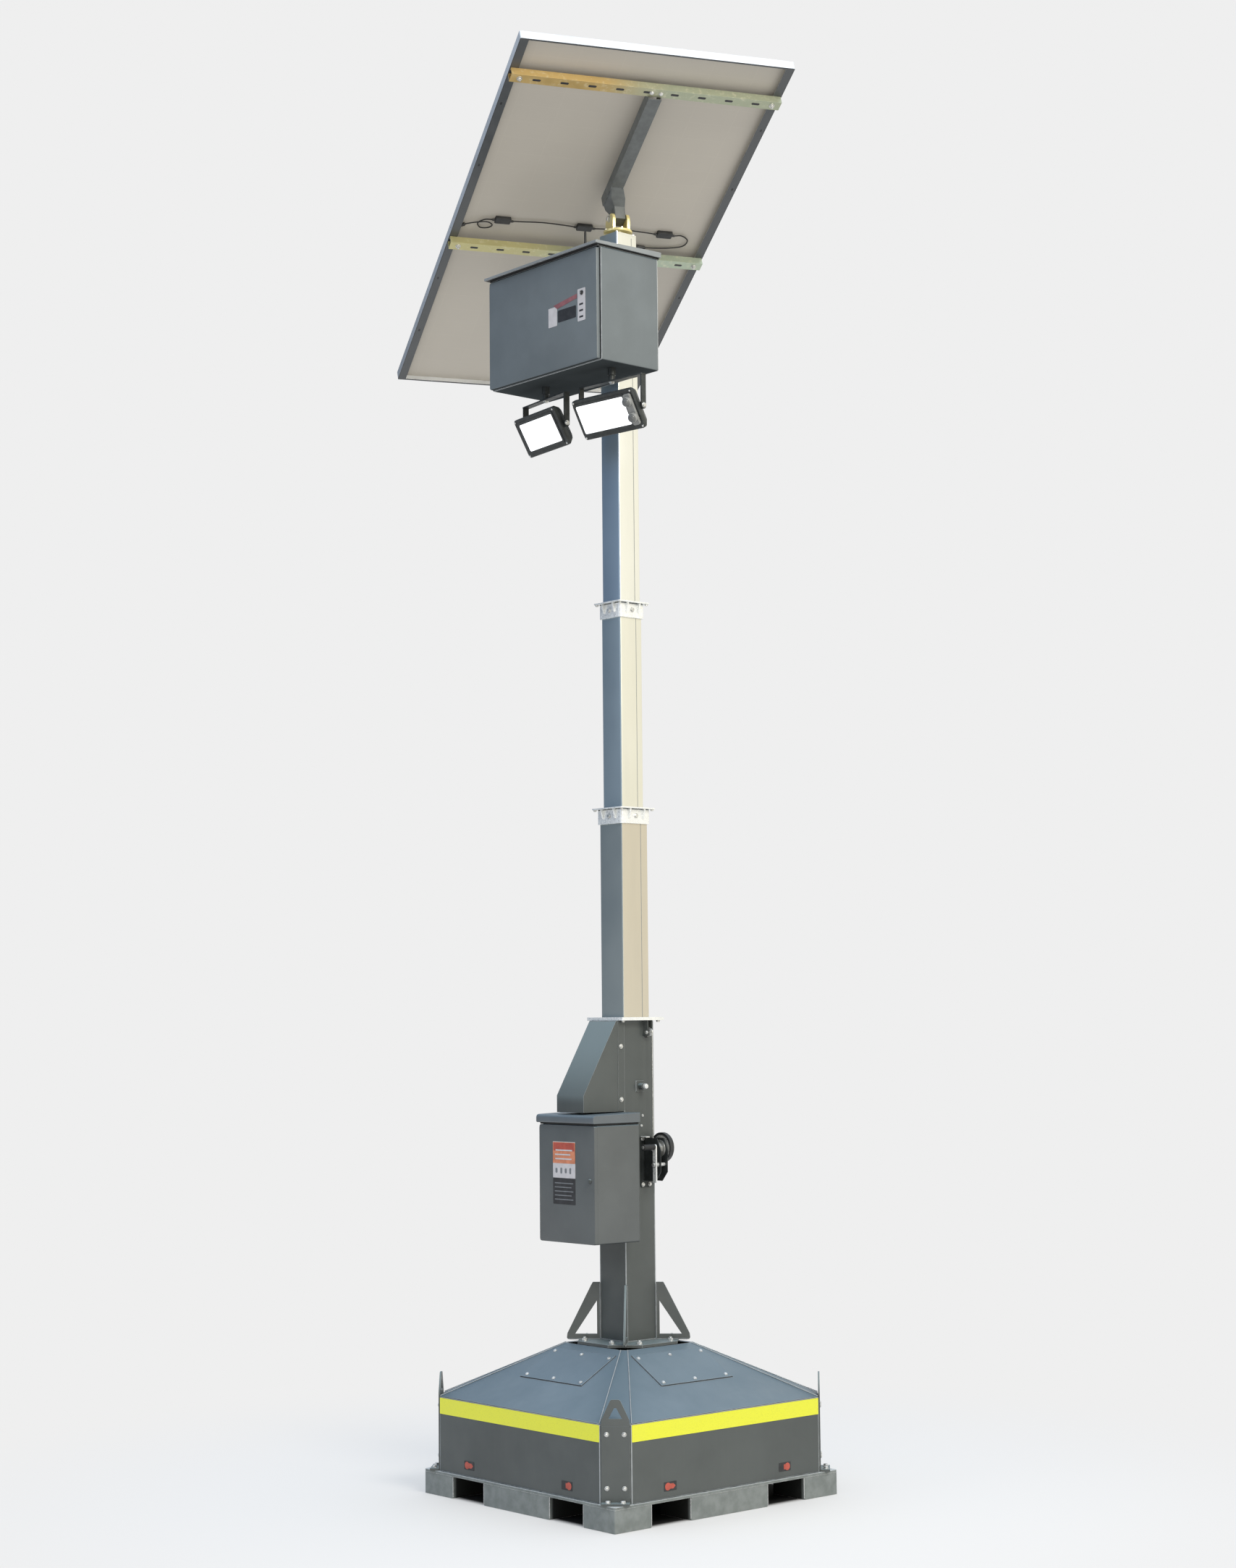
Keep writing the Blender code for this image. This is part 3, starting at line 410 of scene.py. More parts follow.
def aluminium():
    """Anodised frame, with painted shade where it faces down and a painted highlight where it faces the sky.
    """
    look = Look("frame_aluminium")
    # Colour by facing: painted shade downward, painted highlight upward.
    tone = look.mix(look.span(look.up(), -0.5, 0.3), (0.095, 0.100, 0.104), (0.86, 0.88, 0.90))
    tone = look.mix(look.span(look.noise(6.0, 4.0), 0.35, 0.7, 0.0, 0.25), tone, (0.12, 0.13, 0.135))
    look.set(Base_Color=tone, Metallic=0.5, Roughness=look.span(look.noise(24.0), 0.3, 0.7, 0.34, 0.46))
    return look.bump(look.noise(160.0, 3.0, (1.0, 0.15, 1.0)), 0.05, 0.0004).material


def glowing():
    """Frosted cover with the faint grid of the light-emitting diodes behind it."""
    look = Look("lit_lens")
    spots = look.grid(0.016, 0.016, 0.0022, (1.0, 1.0, 0.99), (0.97, 0.98, 1.0), (0.86, 0.89, 0.92))
    look.set(Base_Color=spots, Roughness=0.22, Emission_Color=spots, Emission_Strength=1.08)
    return look.bump(look.noise(90.0), 0.05, 0.0004).material


def back_sheet():
    look = Look("back_sheet")
    pale, dull_and_shaded, lines = (0.47, 0.437, 0.382), (0.465, 0.432, 0.378), (0.482, 0.449, 0.393)
    cells = look.grid(0.1725, 0.0872, 0.0016, pale, dull_and_shaded, lines)
    tone = look.mix(look.span(look.noise(2.5, 4.0), 0.3, 0.7, 0.0, 0.30), cells, (0.43, 0.40, 0.35))
    look.set(Base_Color=tone, Roughness=0.55)
    return look.bump(look.noise(120.0), 0.04, 0.0004).material


def solar_cells():
    look = Look("solar_cells")
    blues, gaps = ((0.010, 0.014, 0.034), (0.013, 0.018, 0.042)), (0.10, 0.11, 0.12)
    cell = look.grid(0.1680, 0.0850, 0.0011, *blues, gaps, (0.005, 0.005, 0.0))
    lines = look.math("PINGPONG", look.math("ADD", look.part(look.where, "X"), 5.005), 0.0093)
    tone = look.mix(look.span(lines, 0.0003, 0.0006, 0.55, 0.0), cell, (0.30, 0.31, 0.32))
    look.set(Base_Color=tone, Roughness=0.10, Coat_Weight=1.0, Coat_Roughness=0.03, Specular_IOR_Level=0.6)
    return look.bump(look.noise(300.0), 0.02, 0.0002).material


# The body paint takes a paler, stronger painted sky reflection on its upward faces.
PAINT = painted("body_paint", (0.066, 0.074, 0.071), sky_reflection=(0.22, 0.28, 0.29))
CASEPAINT = painted("cabinet_paint", (0.090, 0.098, 0.098))
BEAM = plain("beam_paint", (0.115, 0.125, 0.125), 0.45, 0.1)
# Light grey on bevels and hip lines: a painted highlight along edges.
EDGE_HIGHLIGHT = plain("painted_edge_highlight", (0.34, 0.36, 0.37), 0.32, 0.1)
# Lighter and bluer than the body paint: a painted reflection of the sky on the cover's sloping faces.
COVER = painted("cover_paint", (0.105, 0.150, 0.182), dust=0.05)
BOXPAINT = painted("box_paint", (0.126, 0.146, 0.156))
CAP = painted("cap_paint", (0.110, 0.125, 0.135), 0.34)
# Lighter than the box paint, so the lid's thin edges show a painted highlight line.
LIDPAINT = painted("lid_paint", (0.230, 0.250, 0.260), dust=0.10)
GALV = zinc("galvanised", (0.60, 0.62, 0.62))
# Per stage: the lit faces' colour, its warmth partly a painted reflection, then the front face's colour in
# painted shade.
TUBES = [
    tube_zinc("tube_zinc_1", (0.66, 0.61, 0.51), (0.39, 0.43, 0.42)),
    tube_zinc("tube_zinc_2", (0.80, 0.79, 0.70), (0.40, 0.48, 0.52)),
    tube_zinc("tube_zinc_3", (0.84, 0.84, 0.78), (0.40, 0.50, 0.59)),
]
SKID = skid_zinc()
BRIGHT = zinc("bright_zinc", (0.84, 0.85, 0.84), rough=0.34, metal=0.5, spangle=0.06, scale=160.0)
GOLD = plated("zinc_yellow", (0.80, 0.64, 0.24), (0.84, 0.74, 0.36))
RAILS = {
    "upper": plated("rail_upper_zinc", (0.36, 0.39, 0.28), (0.56, 0.39, 0.15), 0.30, 0.20),
    "lower": plated("rail_lower_zinc", (0.42, 0.49, 0.38), (0.52, 0.48, 0.24), 0.25, 0.30),
}
SEAM = plain("tube_seam", (0.24, 0.25, 0.25), 0.5, 0.5)
STEEL = plain("bolt_steel", (0.62, 0.62, 0.60), 0.32, 0.85, 0.18)
WELD = plain("weld_bead", (0.13, 0.14, 0.14), 0.5, 0.2, 0.3, 0.2)
BLACK = plain("black_plastic", (0.020, 0.021, 0.022), 0.45, vary=0.3)
RUBBER = plain("rubber", (0.014, 0.014, 0.014), 0.62, vary=0.3)
LAMP = plain("lamp_black", (0.026, 0.030, 0.030), 0.42, 0.2, 0.3, 0.12)
WHITE = plain("sensor_white", (0.23, 0.235, 0.23), 0.45, vary=0.05)
DOME = plain("sensor_dome", (0.115, 0.12, 0.12), 0.25, vary=0.08)
ALU = aluminium()
ROPE = plain("wire_rope", (0.42, 0.42, 0.40), 0.38, 0.8, 0.35, 0.3, 220.0)
CONCRETE = plain("concrete", (0.34, 0.33, 0.31), 0.85, vary=0.2, grain=0.4)
CASE = plain("battery_case", (0.035, 0.045, 0.060), 0.5)
LABEL_RED = plain("label_red", (0.40, 0.070, 0.045), 0.4, vary=0.15)
LABEL_MUTED = plain("label_muted", (0.26, 0.10, 0.11), 0.45, vary=0.15)
LABEL_ORANGE = plain("label_orange", (0.58, 0.21, 0.11), 0.4, vary=0.15)
PAPER = plain("label_white", (0.55, 0.53, 0.54), 0.45, vary=0.06)
INK = plain("label_black", (0.022, 0.022, 0.024), 0.45, vary=0.3)
GREY = plain("label_grey", (0.17, 0.18, 0.19), 0.45)
TAPE, LIT, BACK, CELLS = tape(), glowing(), back_sheet(), solar_cells()


# ---- places read from the frame ----

GAP = 0.0003                # air between two pieces that meet
SHADOW_GAP = 0.0060               # height of the dark strip under a lid: a painted shadow gap
FOLD = 0.0025               # sheet of the cabinet and of the battery box
POCKET = (0.190, 0.377)     # the fork pockets' walls, from the middle of a side
POST_HALF = 0.075
COVER_TOP = 0.176           # half width of the pyramid's flat top
SPINE_X = 0.026             # middle of the beam behind the panel, in the panel's own frame
PIN_Y, PIN_Z = 0.002, 1.520
LEAD_R = 0.0026
UPWARD = Vector((0, 0, 1))


def span(node, own=None):
    """x0, x1, y0, y1, z0, z1 of a CAD node, in the row frame or in a part's own frame."""
    back = (own or Matrix()).inverted()
    points = [back @ v.co for v in frame["nodes"][node].data.vertices]
    return [pick(p[i] for p in points) for i in range(3) for pick in (min, max)]


def joint(name):
    return next(j for j in frame["joints"] if j["name"] == name)


def axis_of(name):
    return Vector(joint(name)["axis"]).normalized()


def broad_normal(node, towards):
    """Normal of a node's largest flat face, on the side that looks towards a direction."""
    best = max(frame["nodes"][node].data.polygons, key=lambda p: p.area).normal.copy()
    return best if best.dot(Vector(towards)) > 0 else -best


def axes(x, y, z, at):
    return Matrix.Translation(Vector(at)) @ Matrix((x, y, z)).transposed().to_4x4()


def upright(x, at):
    """Axes with Z up and X along a level direction."""
    return axes(x, UPWARD.cross(x), UPWARD, at)


def hit(outline, centre, angle):
    """Where a ray from the centre meets a closed outline."""
    dx, dy = math.cos(angle), math.sin(angle)
    best = None
    for (ax, ay), (bx, by) in zip(outline, outline[1:] + outline[:1]):
        ex, ey = bx - ax, by - ay
        cross = dx * ey - dy * ex
        if abs(cross) < 1e-12:
            continue
        wx, wy = ax - centre[0], ay - centre[1]
        t, u = (wx * ey - wy * ex) / cross, (wx * dy - wy * dx) / cross
        if t > 0 and -1e-6 <= u <= 1 + 1e-6 and (best is None or t > best):
            best = t
    return centre[0] + dx * best, centre[1] + dy * best


def with_hole(s, outer, hole, centre, axis, low, high):
    """A plate with one hole. Both outlines are seen whole from the centre."""
    corners = [math.atan2(b - centre[1], a - centre[0]) for a, b in outer + hole]
    angles = sorted({round(t, 5) for t in corners})
    lines = [[hit(line, centre, t) for t in angles] for line in (outer, hole)]
    return s.hollow(lines[0], lines[1], axis, low, high)


def keep(node, look):
    """A CAD node that stays in view with a finished material."""
    mesh = frame["nodes"][node].data
    mesh.materials.clear()
    mesh.materials.append(look)


# ---- base ----

BODY = span("ballast_body")
BODY_HALF, BODY_LOW, BODY_TOP = BODY[1], BODY[4], BODY[5]
BODY_CUT, SHEET = 0.080, 0.004
FACET = (2 * BODY_HALF - BODY_CUT) / math.sqrt(2)


def quarters(s, draw, start=0.0):
    """Repeats a drawing on the four sides."""
    for side in range(4):
        s.m = turn_z(start + 90 * side)
        draw(s)
    s.m = Matrix()
    return s


def skid():
    half, top = span("pallet_frame")[1], BODY_LOW - GAP
    s = Shape()
    s.prism(square(half, 0.010), "Z", top - 0.0095, top)
    spans = ((-half, -POCKET[1]), (-POCKET[0], POCKET[0]), (POCKET[1], half))
    for a, b in spans:
        for c, d in spans:
            s.prism(shrunk(a, b, c, d, 0.0012, 0.005, 3), "Z", 0.0, top - 0.0098)
    s.paint = 1

    def seams(s):
        for x in (-POCKET[1], -POCKET[0], POCKET[0], POCKET[1]):
            s.bead((x, -half + 0.004, 0.006), (x, -half + 0.004, top - 0.010), 0.0022)

    quarters(s, seams)
    # The bevels take the bright zinc: a painted highlight along the skid's edges.
    s.done("skid_frame", "base", [SKID, WELD, BRIGHT], "pallet_frame", ["pallet_frame"], 0.0032, bright=2)
    inner = Shape().prism(square(POST_HALF, 0.010), "Z", top, span("base_flange")[4] - GAP)
    inner.done("skid_pedestal", "base", SKID, "pallet_frame", bevel=0)


def ballast_walls():
    s = Shape()
    outer, inner = octagon(BODY_HALF, BODY_CUT), octagon(BODY_HALF - SHEET, BODY_CUT - SHEET * 0.586)
    s.hollow(outer, inner, "Z", BODY_LOW, BODY_TOP)
    s.done("ballast_walls", "base", [PAINT, EDGE_HIGHLIGHT], "ballast_body", ["ballast_body"], 0.0022, bright=1)
    trim, tape, marks = Shape(), Shape(), Shape()
    face = -BODY_HALF

    def strip(s):
        reach = BODY_HALF - BODY_CUT - 0.001
        outline = rounded(-reach, reach, BODY_TOP - 0.062, BODY_TOP - 0.003, 0.0015, 2)
        s.prism(outline, "Y", face - 0.0012, face + 0.0005)

    def foot(s):
        reach = BODY_HALF - BODY_CUT - 0.006
        y, z = face - 0.0005, BODY_LOW + 0.0015
        s.bead((-reach, y, z), (reach, y, z), 0.0026)

    def mark(s):
        for x in (-0.283, 0.283):
            out = -1 if x < 0 else 1
            s.paint = 0
            ground = rounded(x - 0.030, x + 0.030, 0.115, 0.147, 0.003, 3)
            s.prism(ground, "Y", face - 0.0009, face + 0.0005)
            s.paint = 1
            s.prism(ring(x + 0.012 * out, 0.131, 0.0135, 24), "Y", face - 0.0015, face)
            arrow = ((-0.006, 0.122), (0.014, 0.122), (0.024, 0.131), (0.014, 0.140), (-0.006, 0.140))
            s.prism([(x + dx, z) for dx, z in arrow], "Y", face - 0.0014, face)

    quarters(tape, strip).done("reflective_strips", "base", TAPE, "ballast_body", bevel=0.0003, segments=1)
    quarters(trim, foot).done("wall_welds", "base", WELD, "ballast_body", bevel=0)
    quarters(marks, mark)
    marks.done("side_markers", "base", [INK, LABEL_RED], "ballast_body", bevel=0.0002, segments=1)


def corner_plate(index, degrees):
    node = f"corner_plate_{index}"
    low, top = span(node)[4:]
    half, shoulder, thick = 0.050, BODY_TOP + 0.014, 0.006
    face = -(FACET + GAP + thick)
    s = Shape()
    s.m = turn_z(degrees)
    split = shoulder - 0.020
    s.prism(rect(-half, half, low, split), "Y", face, face + thick)
    crown = [(-half, split), (half, split), (half, shoulder)]
    crown += [(0.012 + 0.010 * math.sin(t) - 0.002, top - 0.010 + 0.010 * math.cos(t))
              for t in (1.2, 0.8, 0.4, 0.0)]
    crown += [(-x, z) for x, z in reversed(crown[2:])]
    eye = [(-0.024, shoulder + 0.006), (0.024, shoulder + 0.006), (0.004, top - 0.029),
           (-0.004, top - 0.029)]
    with_hole(s, crown, eye, (0.0, shoulder + 0.020), "Y", face, face + thick)
    s.box(-half, half, face - 0.034, face + 0.003, low, low + 0.008)
    s.paint = 1
    for x in (-0.031, 0.031):
        for z in (0.145, 0.330):
            s.dome_bolt((x, face, z), (0, -1, 0), 0.0075, 0.0048)
        s.bolt((x * 0.84, face - 0.018, low + 0.008), (0, 0, 1), 0.009, 0.0075)
    s.paint = 2
    for x in (-half, half):
        s.bead((x, face + thick, BODY_LOW + 0.02), (x, face + thick, BODY_TOP - 0.01), 0.0020)
    s.done(f"lifting_plate_{index}", "base", [PAINT, STEEL, WELD], node, [node], 0.0008)


def cover():
    low, top = span("pyramid_cover")[4:]
    cut_top = 0.018
    s = Shape()

    def rim(half, cut, z):
        return [(x, y, z) for x, y in octagon(half, cut)]

    outer = [rim(BODY_HALF, BODY_CUT, low + 0.0012), rim(COVER_TOP, cut_top, top)]
    inner = [rim(COVER_TOP - 0.006, cut_top, top - 0.0045), rim(BODY_HALF - 0.008, BODY_CUT, low + 0.0012)]
    s.loft(outer + inner, caps=False)
    node = "pyramid_cover"
    s.done("cover_shell", "base", [COVER, EDGE_HIGHLIGHT], node, [node], 0.0024, 3, 20, bright=1)
    # Rods along the hips in the edge material: hip seams drawn as painted highlight lines.
    seams = Shape()
    for a, b in zip(rim(BODY_HALF, BODY_CUT, low + 0.003), rim(COVER_TOP, cut_top, top)):
        shares = (0.004, 0.25, 0.5, 0.75, 0.996)
        seams.pipe([Vector(a).lerp(Vector(b), t) + Vector((0, 0, 0.0006)) for t in shares], 0.0016, 8)
    seams.done("cover_seam_highlights", "base", EDGE_HIGHLIGHT, node, bevel=0)


def hatch(index, degrees):
    """A plate on one sloping face, held by screws along its lower and upper edges."""
    node = f"access_hatch_{index}"
    low, top = span("pyramid_cover")[4:]
    slope = (top - low) / (BODY_HALF - COVER_TOP)
    outward = Vector((0, -slope, 1)).normalized()
    wide, narrow, near, far = 0.175, 0.171, 0.212, 0.380

    def on_face(x, d, lift):
        return Vector((x, -d, low + (BODY_HALF - d) * slope)) + outward * lift

    s = Shape()
    s.m = turn_z(degrees)

    def plate(wide, far, narrow, near, lifts):
        outline = ((wide, far), (narrow, near), (-narrow, near), (-wide, far))
        s.loft([[on_face(x, d, lift) for x, d in outline] for lift in lifts])

    plate(wide, far, narrow, near, (0.0008, 0.0036))
    s.paint = 2
    plate(wide + 0.004, far + 0.004, narrow + 0.003, near - 0.003, (0.0003, 0.0012))
    s.paint = 1
    for x in (-0.155, 0.0, 0.155):
        for d in (far - 0.014, near + 0.018):
            s.dome_bolt(on_face(x, d, 0.0034), outward, 0.0072, 0.0050)
    s.done(f"hatch_plate_{index}", "base", [COVER, STEEL, RUBBER, EDGE_HIGHLIGHT], node, [node], 0.0010, bright=3)


def flange():
    z0, top = span("base_flange")[4:]
    cut, thick = 0.090, 0.010
    plate_top = z0 + thick
    s = Shape()
    s.prism(octagon(0.1775, cut), "Z", z0, plate_top)
    post_edge = POST_HALF * math.sqrt(2) + GAP

    def brace(s):
        start, end = post_edge, post_edge + 0.127
        foot = [(start, plate_top), (end - 0.004, plate_top), (end, plate_top + 0.006)]
        outer = foot + [(end - 0.002, plate_top + 0.022), (start + 0.033, top - 0.010),
                        (start + 0.027, top), (start, top)]
        z = plate_top + 0.020
        hole = [(start + 0.012, z), (end - 0.032, z), (start + 0.012, top - 0.070)]
        with_hole(s, outer, hole, (start + 0.030, plate_top + 0.050), "Y", -0.004, 0.004)

    def nuts(s):
        for x in (-0.078, 0.078):
            s.bolt((x, -0.150, plate_top), (0, 0, 1), 0.0105, 0.009, tail=0.004)

    def welds(s):
        for y in (-0.0045, 0.0045):
            s.bead((post_edge, y, plate_top + 0.004), (post_edge, y, top - 0.004), 0.0022)
            s.bead((post_edge, y, plate_top + 0.001), (post_edge + 0.12, y, plate_top + 0.001), 0.0024)

    def foot(s):
        y, z = -0.0762, plate_top + 0.0015
        s.bead((-0.072, y, z), (0.072, y, z), 0.0032)

    quarters(s, brace, 45)
    s.paint = 1
    quarters(s, nuts)
    s.paint = 2
    quarters(s, welds, 45)
    quarters(s, foot)
    looks = [PAINT, STEEL, WELD, EDGE_HIGHLIGHT]
    s.done("post_foot", "base", looks, "base_flange", ["base_flange"], 0.0012, bright=3)


# ---- mast ----

def tube(s, half, wall, low, high, r):
    s.hollow(square(half, r), square(half - wall, r * 0.6), "Z", low, high)


def lower_post():
    node = "lower_post"
    low, high = span(node)[4:]
    half, y, z = POST_HALF, PIN_Y, PIN_Z
    s = Shape()
    tube(s, half, 0.006, low, high, 0.008)
    s.prism(rounded(y - 0.019, y + 0.019, z - 0.021, z + 0.021, 0.004), "X", half, half + 0.004)
    s.hollow(ring(y, z, 0.012, 28), ring(y, z, 0.0064, 28), "X", half + 0.003, half + 0.026)
    s.paint = 1
    s.prism(rounded(0.0265, 0.0455, 1.700, 1.744, 0.004), "X", half - 0.001, half + 0.0006)
    s.paint = 2
    for at in ((0.016, 1.409), (0.010, 1.371)):
        s.dome_bolt((half, *at), (1, 0, 0), 0.005, 0.003)
    s.paint = 3
    for side in (y - 0.019, y + 0.019):
        s.bead((half + 0.0008, side, z - 0.021), (half + 0.0008, side, z + 0.021), 0.002)
    s.done("mast_outer_post", "base", [PAINT, INK, STEEL, WELD, EDGE_HIGHLIGHT], node, [node], 0.0012, bright=4)
    # Thin rods down the post's corners in the edge material: painted highlight lines.
    edges = Shape()
    k = half - 0.0020
    for x, y in ((-k, -k), (k, -k), (k, k), (-k, k)):
        edges.rod("Z", x, y, 0.0024, low + 0.012, high - 0.002, 10)
    edges.done("post_edge_highlights", "base", EDGE_HIGHLIGHT, node, bevel=0)


def top_flange():
    node = "post_top_flange"
    half, top = span(node)[3], span(node)[5]
    under = top - 0.012
    s = Shape()
    s.hollow(square(half, 0.007), square(span("mast_stage_1")[1] + 0.002, 0.007), "Z", under, top)
    s.paint = 2
    inner, outer = 0.0755, 0.1012
    cheek = [(inner, 1.708), (0.094, 1.708), (outer, 1.715), (outer, 1.729), (0.1005, under),
             (inner, under)]
    for a, b in ((0.0235, 0.0270), (0.0450, 0.0485)):
        s.prism(cheek, "Y", a, b)
    s.paint = 1
    s.rod("Y", PULLEY[0], PULLEY[1], 0.0038, 0.022, 0.050, 18)
    s.bolt((PULLEY[0], 0.0235, PULLEY[1]), (0, -1, 0), 0.0065, 0.004)
    for x in (-0.088, 0.088):
        for y in (-0.088, 0.088):
            s.bolt((x, y, under), (0, 0, -1), 0.007, 0.006)
    s.done("post_head_flange", "base", [BRIGHT, STEEL, PAINT], node, [node], 0.0014)


def mast_stage(index, body):
    node = f"mast_stage_{index}"
    half, low, high = span(node)[1], *span(node)[4:]
    top = high if index < 3 else high - 0.016
    s = Shape()
    tube(s, half, 0.0045, low, top, 0.006)
    s.paint = 1
    seam = half * 0.45
    s.box(half - 0.0005, half + 0.0005, seam - 0.0012, seam + 0.0012, low + 0.01, top - 0.01)
    if index == 3:
        s.paint = 0
        s.prism(square(0.052, 0.006), "Z", top - 0.001, top + 0.006)
        s.turned("Z", 0, 0, ((0.020, top + 0.005), (0.020, high - 0.001), (0.018, high)), 32)
        s.paint = 2
        for x, y in ((-0.042, -0.042), (0.042, -0.042), (0.042, 0.042), (-0.042, 0.042)):
            s.bolt((x, y, top + 0.006), (0, 0, 1), 0.0055, 0.004)
    s.done(f"mast_tube_{index}", body, [TUBES[index - 1], SEAM, STEEL], node, [node], 0.0008)


def collar(index, body):
    """Plate with rounded corners on a ribbed sleeve, clamped round the head of a stage."""
    node = f"collar_{index}"
    reach, low, top = span(node)[1], *span(node)[4:]
    outer, hole = span(f"mast_stage_{index}")[1], span(f"mast_stage_{index + 1}")[1] + 0.0022
    sleeve = outer + 0.007
    s = Shape()
    s.hollow(square(reach, 0.008), square(hole, 0.006), "Z", top - 0.005, top)
    s.hollow(square(sleeve, 0.010), square(outer + GAP, 0.006), "Z", low, top - 0.004)

    def rib(s):
        root, tip = -sleeve + 0.001, -reach + 0.003
        outline = [(root, low + 0.020), (-sleeve - 0.003, low + 0.020), (tip, top - 0.012),
                   (tip, top - 0.005),
                   (root, top - 0.005)]
        for x in (-outer * 0.55, outer * 0.55):
            s.prism(outline, "X", x - 0.003, x + 0.003)

    def screw(s):
        s.bolt((0.0, -sleeve, low + 0.030), (0, -1, 0), 0.0075, 0.006)
        s.bolt((-reach + 0.010, -reach + 0.010, top - 0.005), (0, 0, -1), 0.0055, 0.005)

    def weld(s):
        s.bead((-outer, -sleeve - 0.0005, top - 0.0065), (outer, -sleeve - 0.0005, top - 0.0065), 0.0022)

    quarters(s, rib)
    s.paint = 1
    quarters(s, screw)
    s.paint = 2
    quarters(s, weld)
    s.done(f"stage_collar_{index}", body, [BRIGHT, STEEL, WELD], node, [node], 0.0012)


# ---- cable housing and control cabinet ----

def cable_housing():
    """Folded cover with a sloping front, its side flanges screwed to the post."""
    node = "cable_housing"
    front, back, low, top = span(node)[2:]
    half, slope_foot, slope_top = 0.0775, low + 0.062, -0.114
    outline = [(back, low), (front, low), (front, slope_foot), (slope_top, top), (back, top)]
    s = Shape()
    s.prism(outline, "X", -half, half)
    for side in (-1, 1):
        x = sorted((side * (half - 0.001), side * (half + 0.0012)))
        s.prism(rect(back - 0.032, back + 0.0002, low + 0.004, top - 0.003), "X", *x)
    s.paint = 1
    for side in (-1, 1):
        for z in (low + 0.044, top - 0.0965):
            s.bolt((side * (half + 0.001), -0.092, z), (side, 0, 0), 0.0075, 0.0042)
    s.paint = 2
    s.bead((-half, slope_top, top - 0.001), (half, slope_top, top - 0.001), 0.0018)
    s.done("cable_cover", "base", [PAINT, STEEL, WELD, EDGE_HIGHLIGHT], node, [node], 0.0028, 3, bright=3)


def hinge(s, x, y, low, high):
    """Slender continuous hinge: a pin with knuckles all the way up."""
    r, count = 0.0028, round((high - low) / 0.032)
    step = (high - low) / count
    for k in range(count):
        s.rod("Z", x, y, r, low + k * step + 0.0004, low + (k + 1) * step - 0.0004, 14)
    s.rod("Z", x, y, r * 0.6, low - 0.001, high + 0.001, 10)


def quarter_turn(name, body, node, looks):
    """Low round lock with a grip bar and a slot."""
    x0, x1, front, back, z0, z1 = span(node)
    x, z, r = (x0 + x1) / 2, (z0 + z1) / 2, (x1 - x0) / 2
    s = Shape()
    rim = ((r - 0.0005, back), (r, back - 0.001), (r - 0.0004, back - 0.0028), (r - 0.0018, back - 0.0037))
    s.turned("Y", x, z, rim, 32)
    s.prism(rounded(x - 0.0025, x + 0.0025, z - 0.0068, z + 0.0068, 0.0024), "Y", front, back - 0.003)
    s.paint = 1
    s.rod("Y", x, z, 0.0013, front - 0.0002, front + 0.002, 12)
    s.done(name, body, looks, node, [node], 0.0004)


def open_case(name, body, node, looks, r, bright=None):
    """Folded box, open in front, with a rubber seal inside its mouth."""
    half, front, back, low, top = span(node)[1:]
    top -= SHADOW_GAP
    s = Shape()
    outline = rounded(-half, half, low, top, r)
    s.hollow(outline, shrunk(-half, half, low, top, FOLD, r - 0.002), "Y", front, back - FOLD)
    s.prism(outline, "Y", back - FOLD, back)
    s.paint = 1
    seal = [shrunk(-half, half, low, top, by, corner) for by, corner in ((0.003, 0.006), (0.012, 0.004))]
    s.hollow(*seal, "Y", front, front + 0.004)
    s.done(name, body, looks, node, [node], 0.0016, bright=bright)


def door_skin(s, node, r):
    """Pressed door with a softened front edge. Gives its left side, front, foot and head."""
    x0, x1, front, back, low, top = span(node)
    top -= SHADOW_GAP
    s.loft([[(x, y, z) for x, z in shrunk(x0, x1, low, top, by, r)]
            for y, by in ((back, 0.0), (front + 0.0025, 0.0), (front + 0.0006, 0.0008), (front, 0.0025))])
    return x0, front, low, top


def lid_shadow_strip(s, case, door, back, low):
    """Recessed dark ring between a case with its door and the lid above them: a painted shadow gap."""
    half, face = span(case)[1] - 0.002, span(door)[2] + 0.002
    inner = rect(-half + 0.006, half - 0.006, face + 0.004, back - 0.004)
    s.hollow(rect(-half, half, face, back), inner, "Z", low - SHADOW_GAP, low)


def cabinet():
    open_case("cabinet_case", "base", "cabinet_shell", [CASEPAINT, RUBBER], 0.007)
    cabinet_door()
    cabinet_roof()
    quarter_turn("cabinet_turn_latch", "cabinet_latch", "cabinet_latch", [PAINT, INK])
    keep("control_plate", GALV)
    keep("charge_controller", BLACK)
    keep("switch_knob", LABEL_RED)


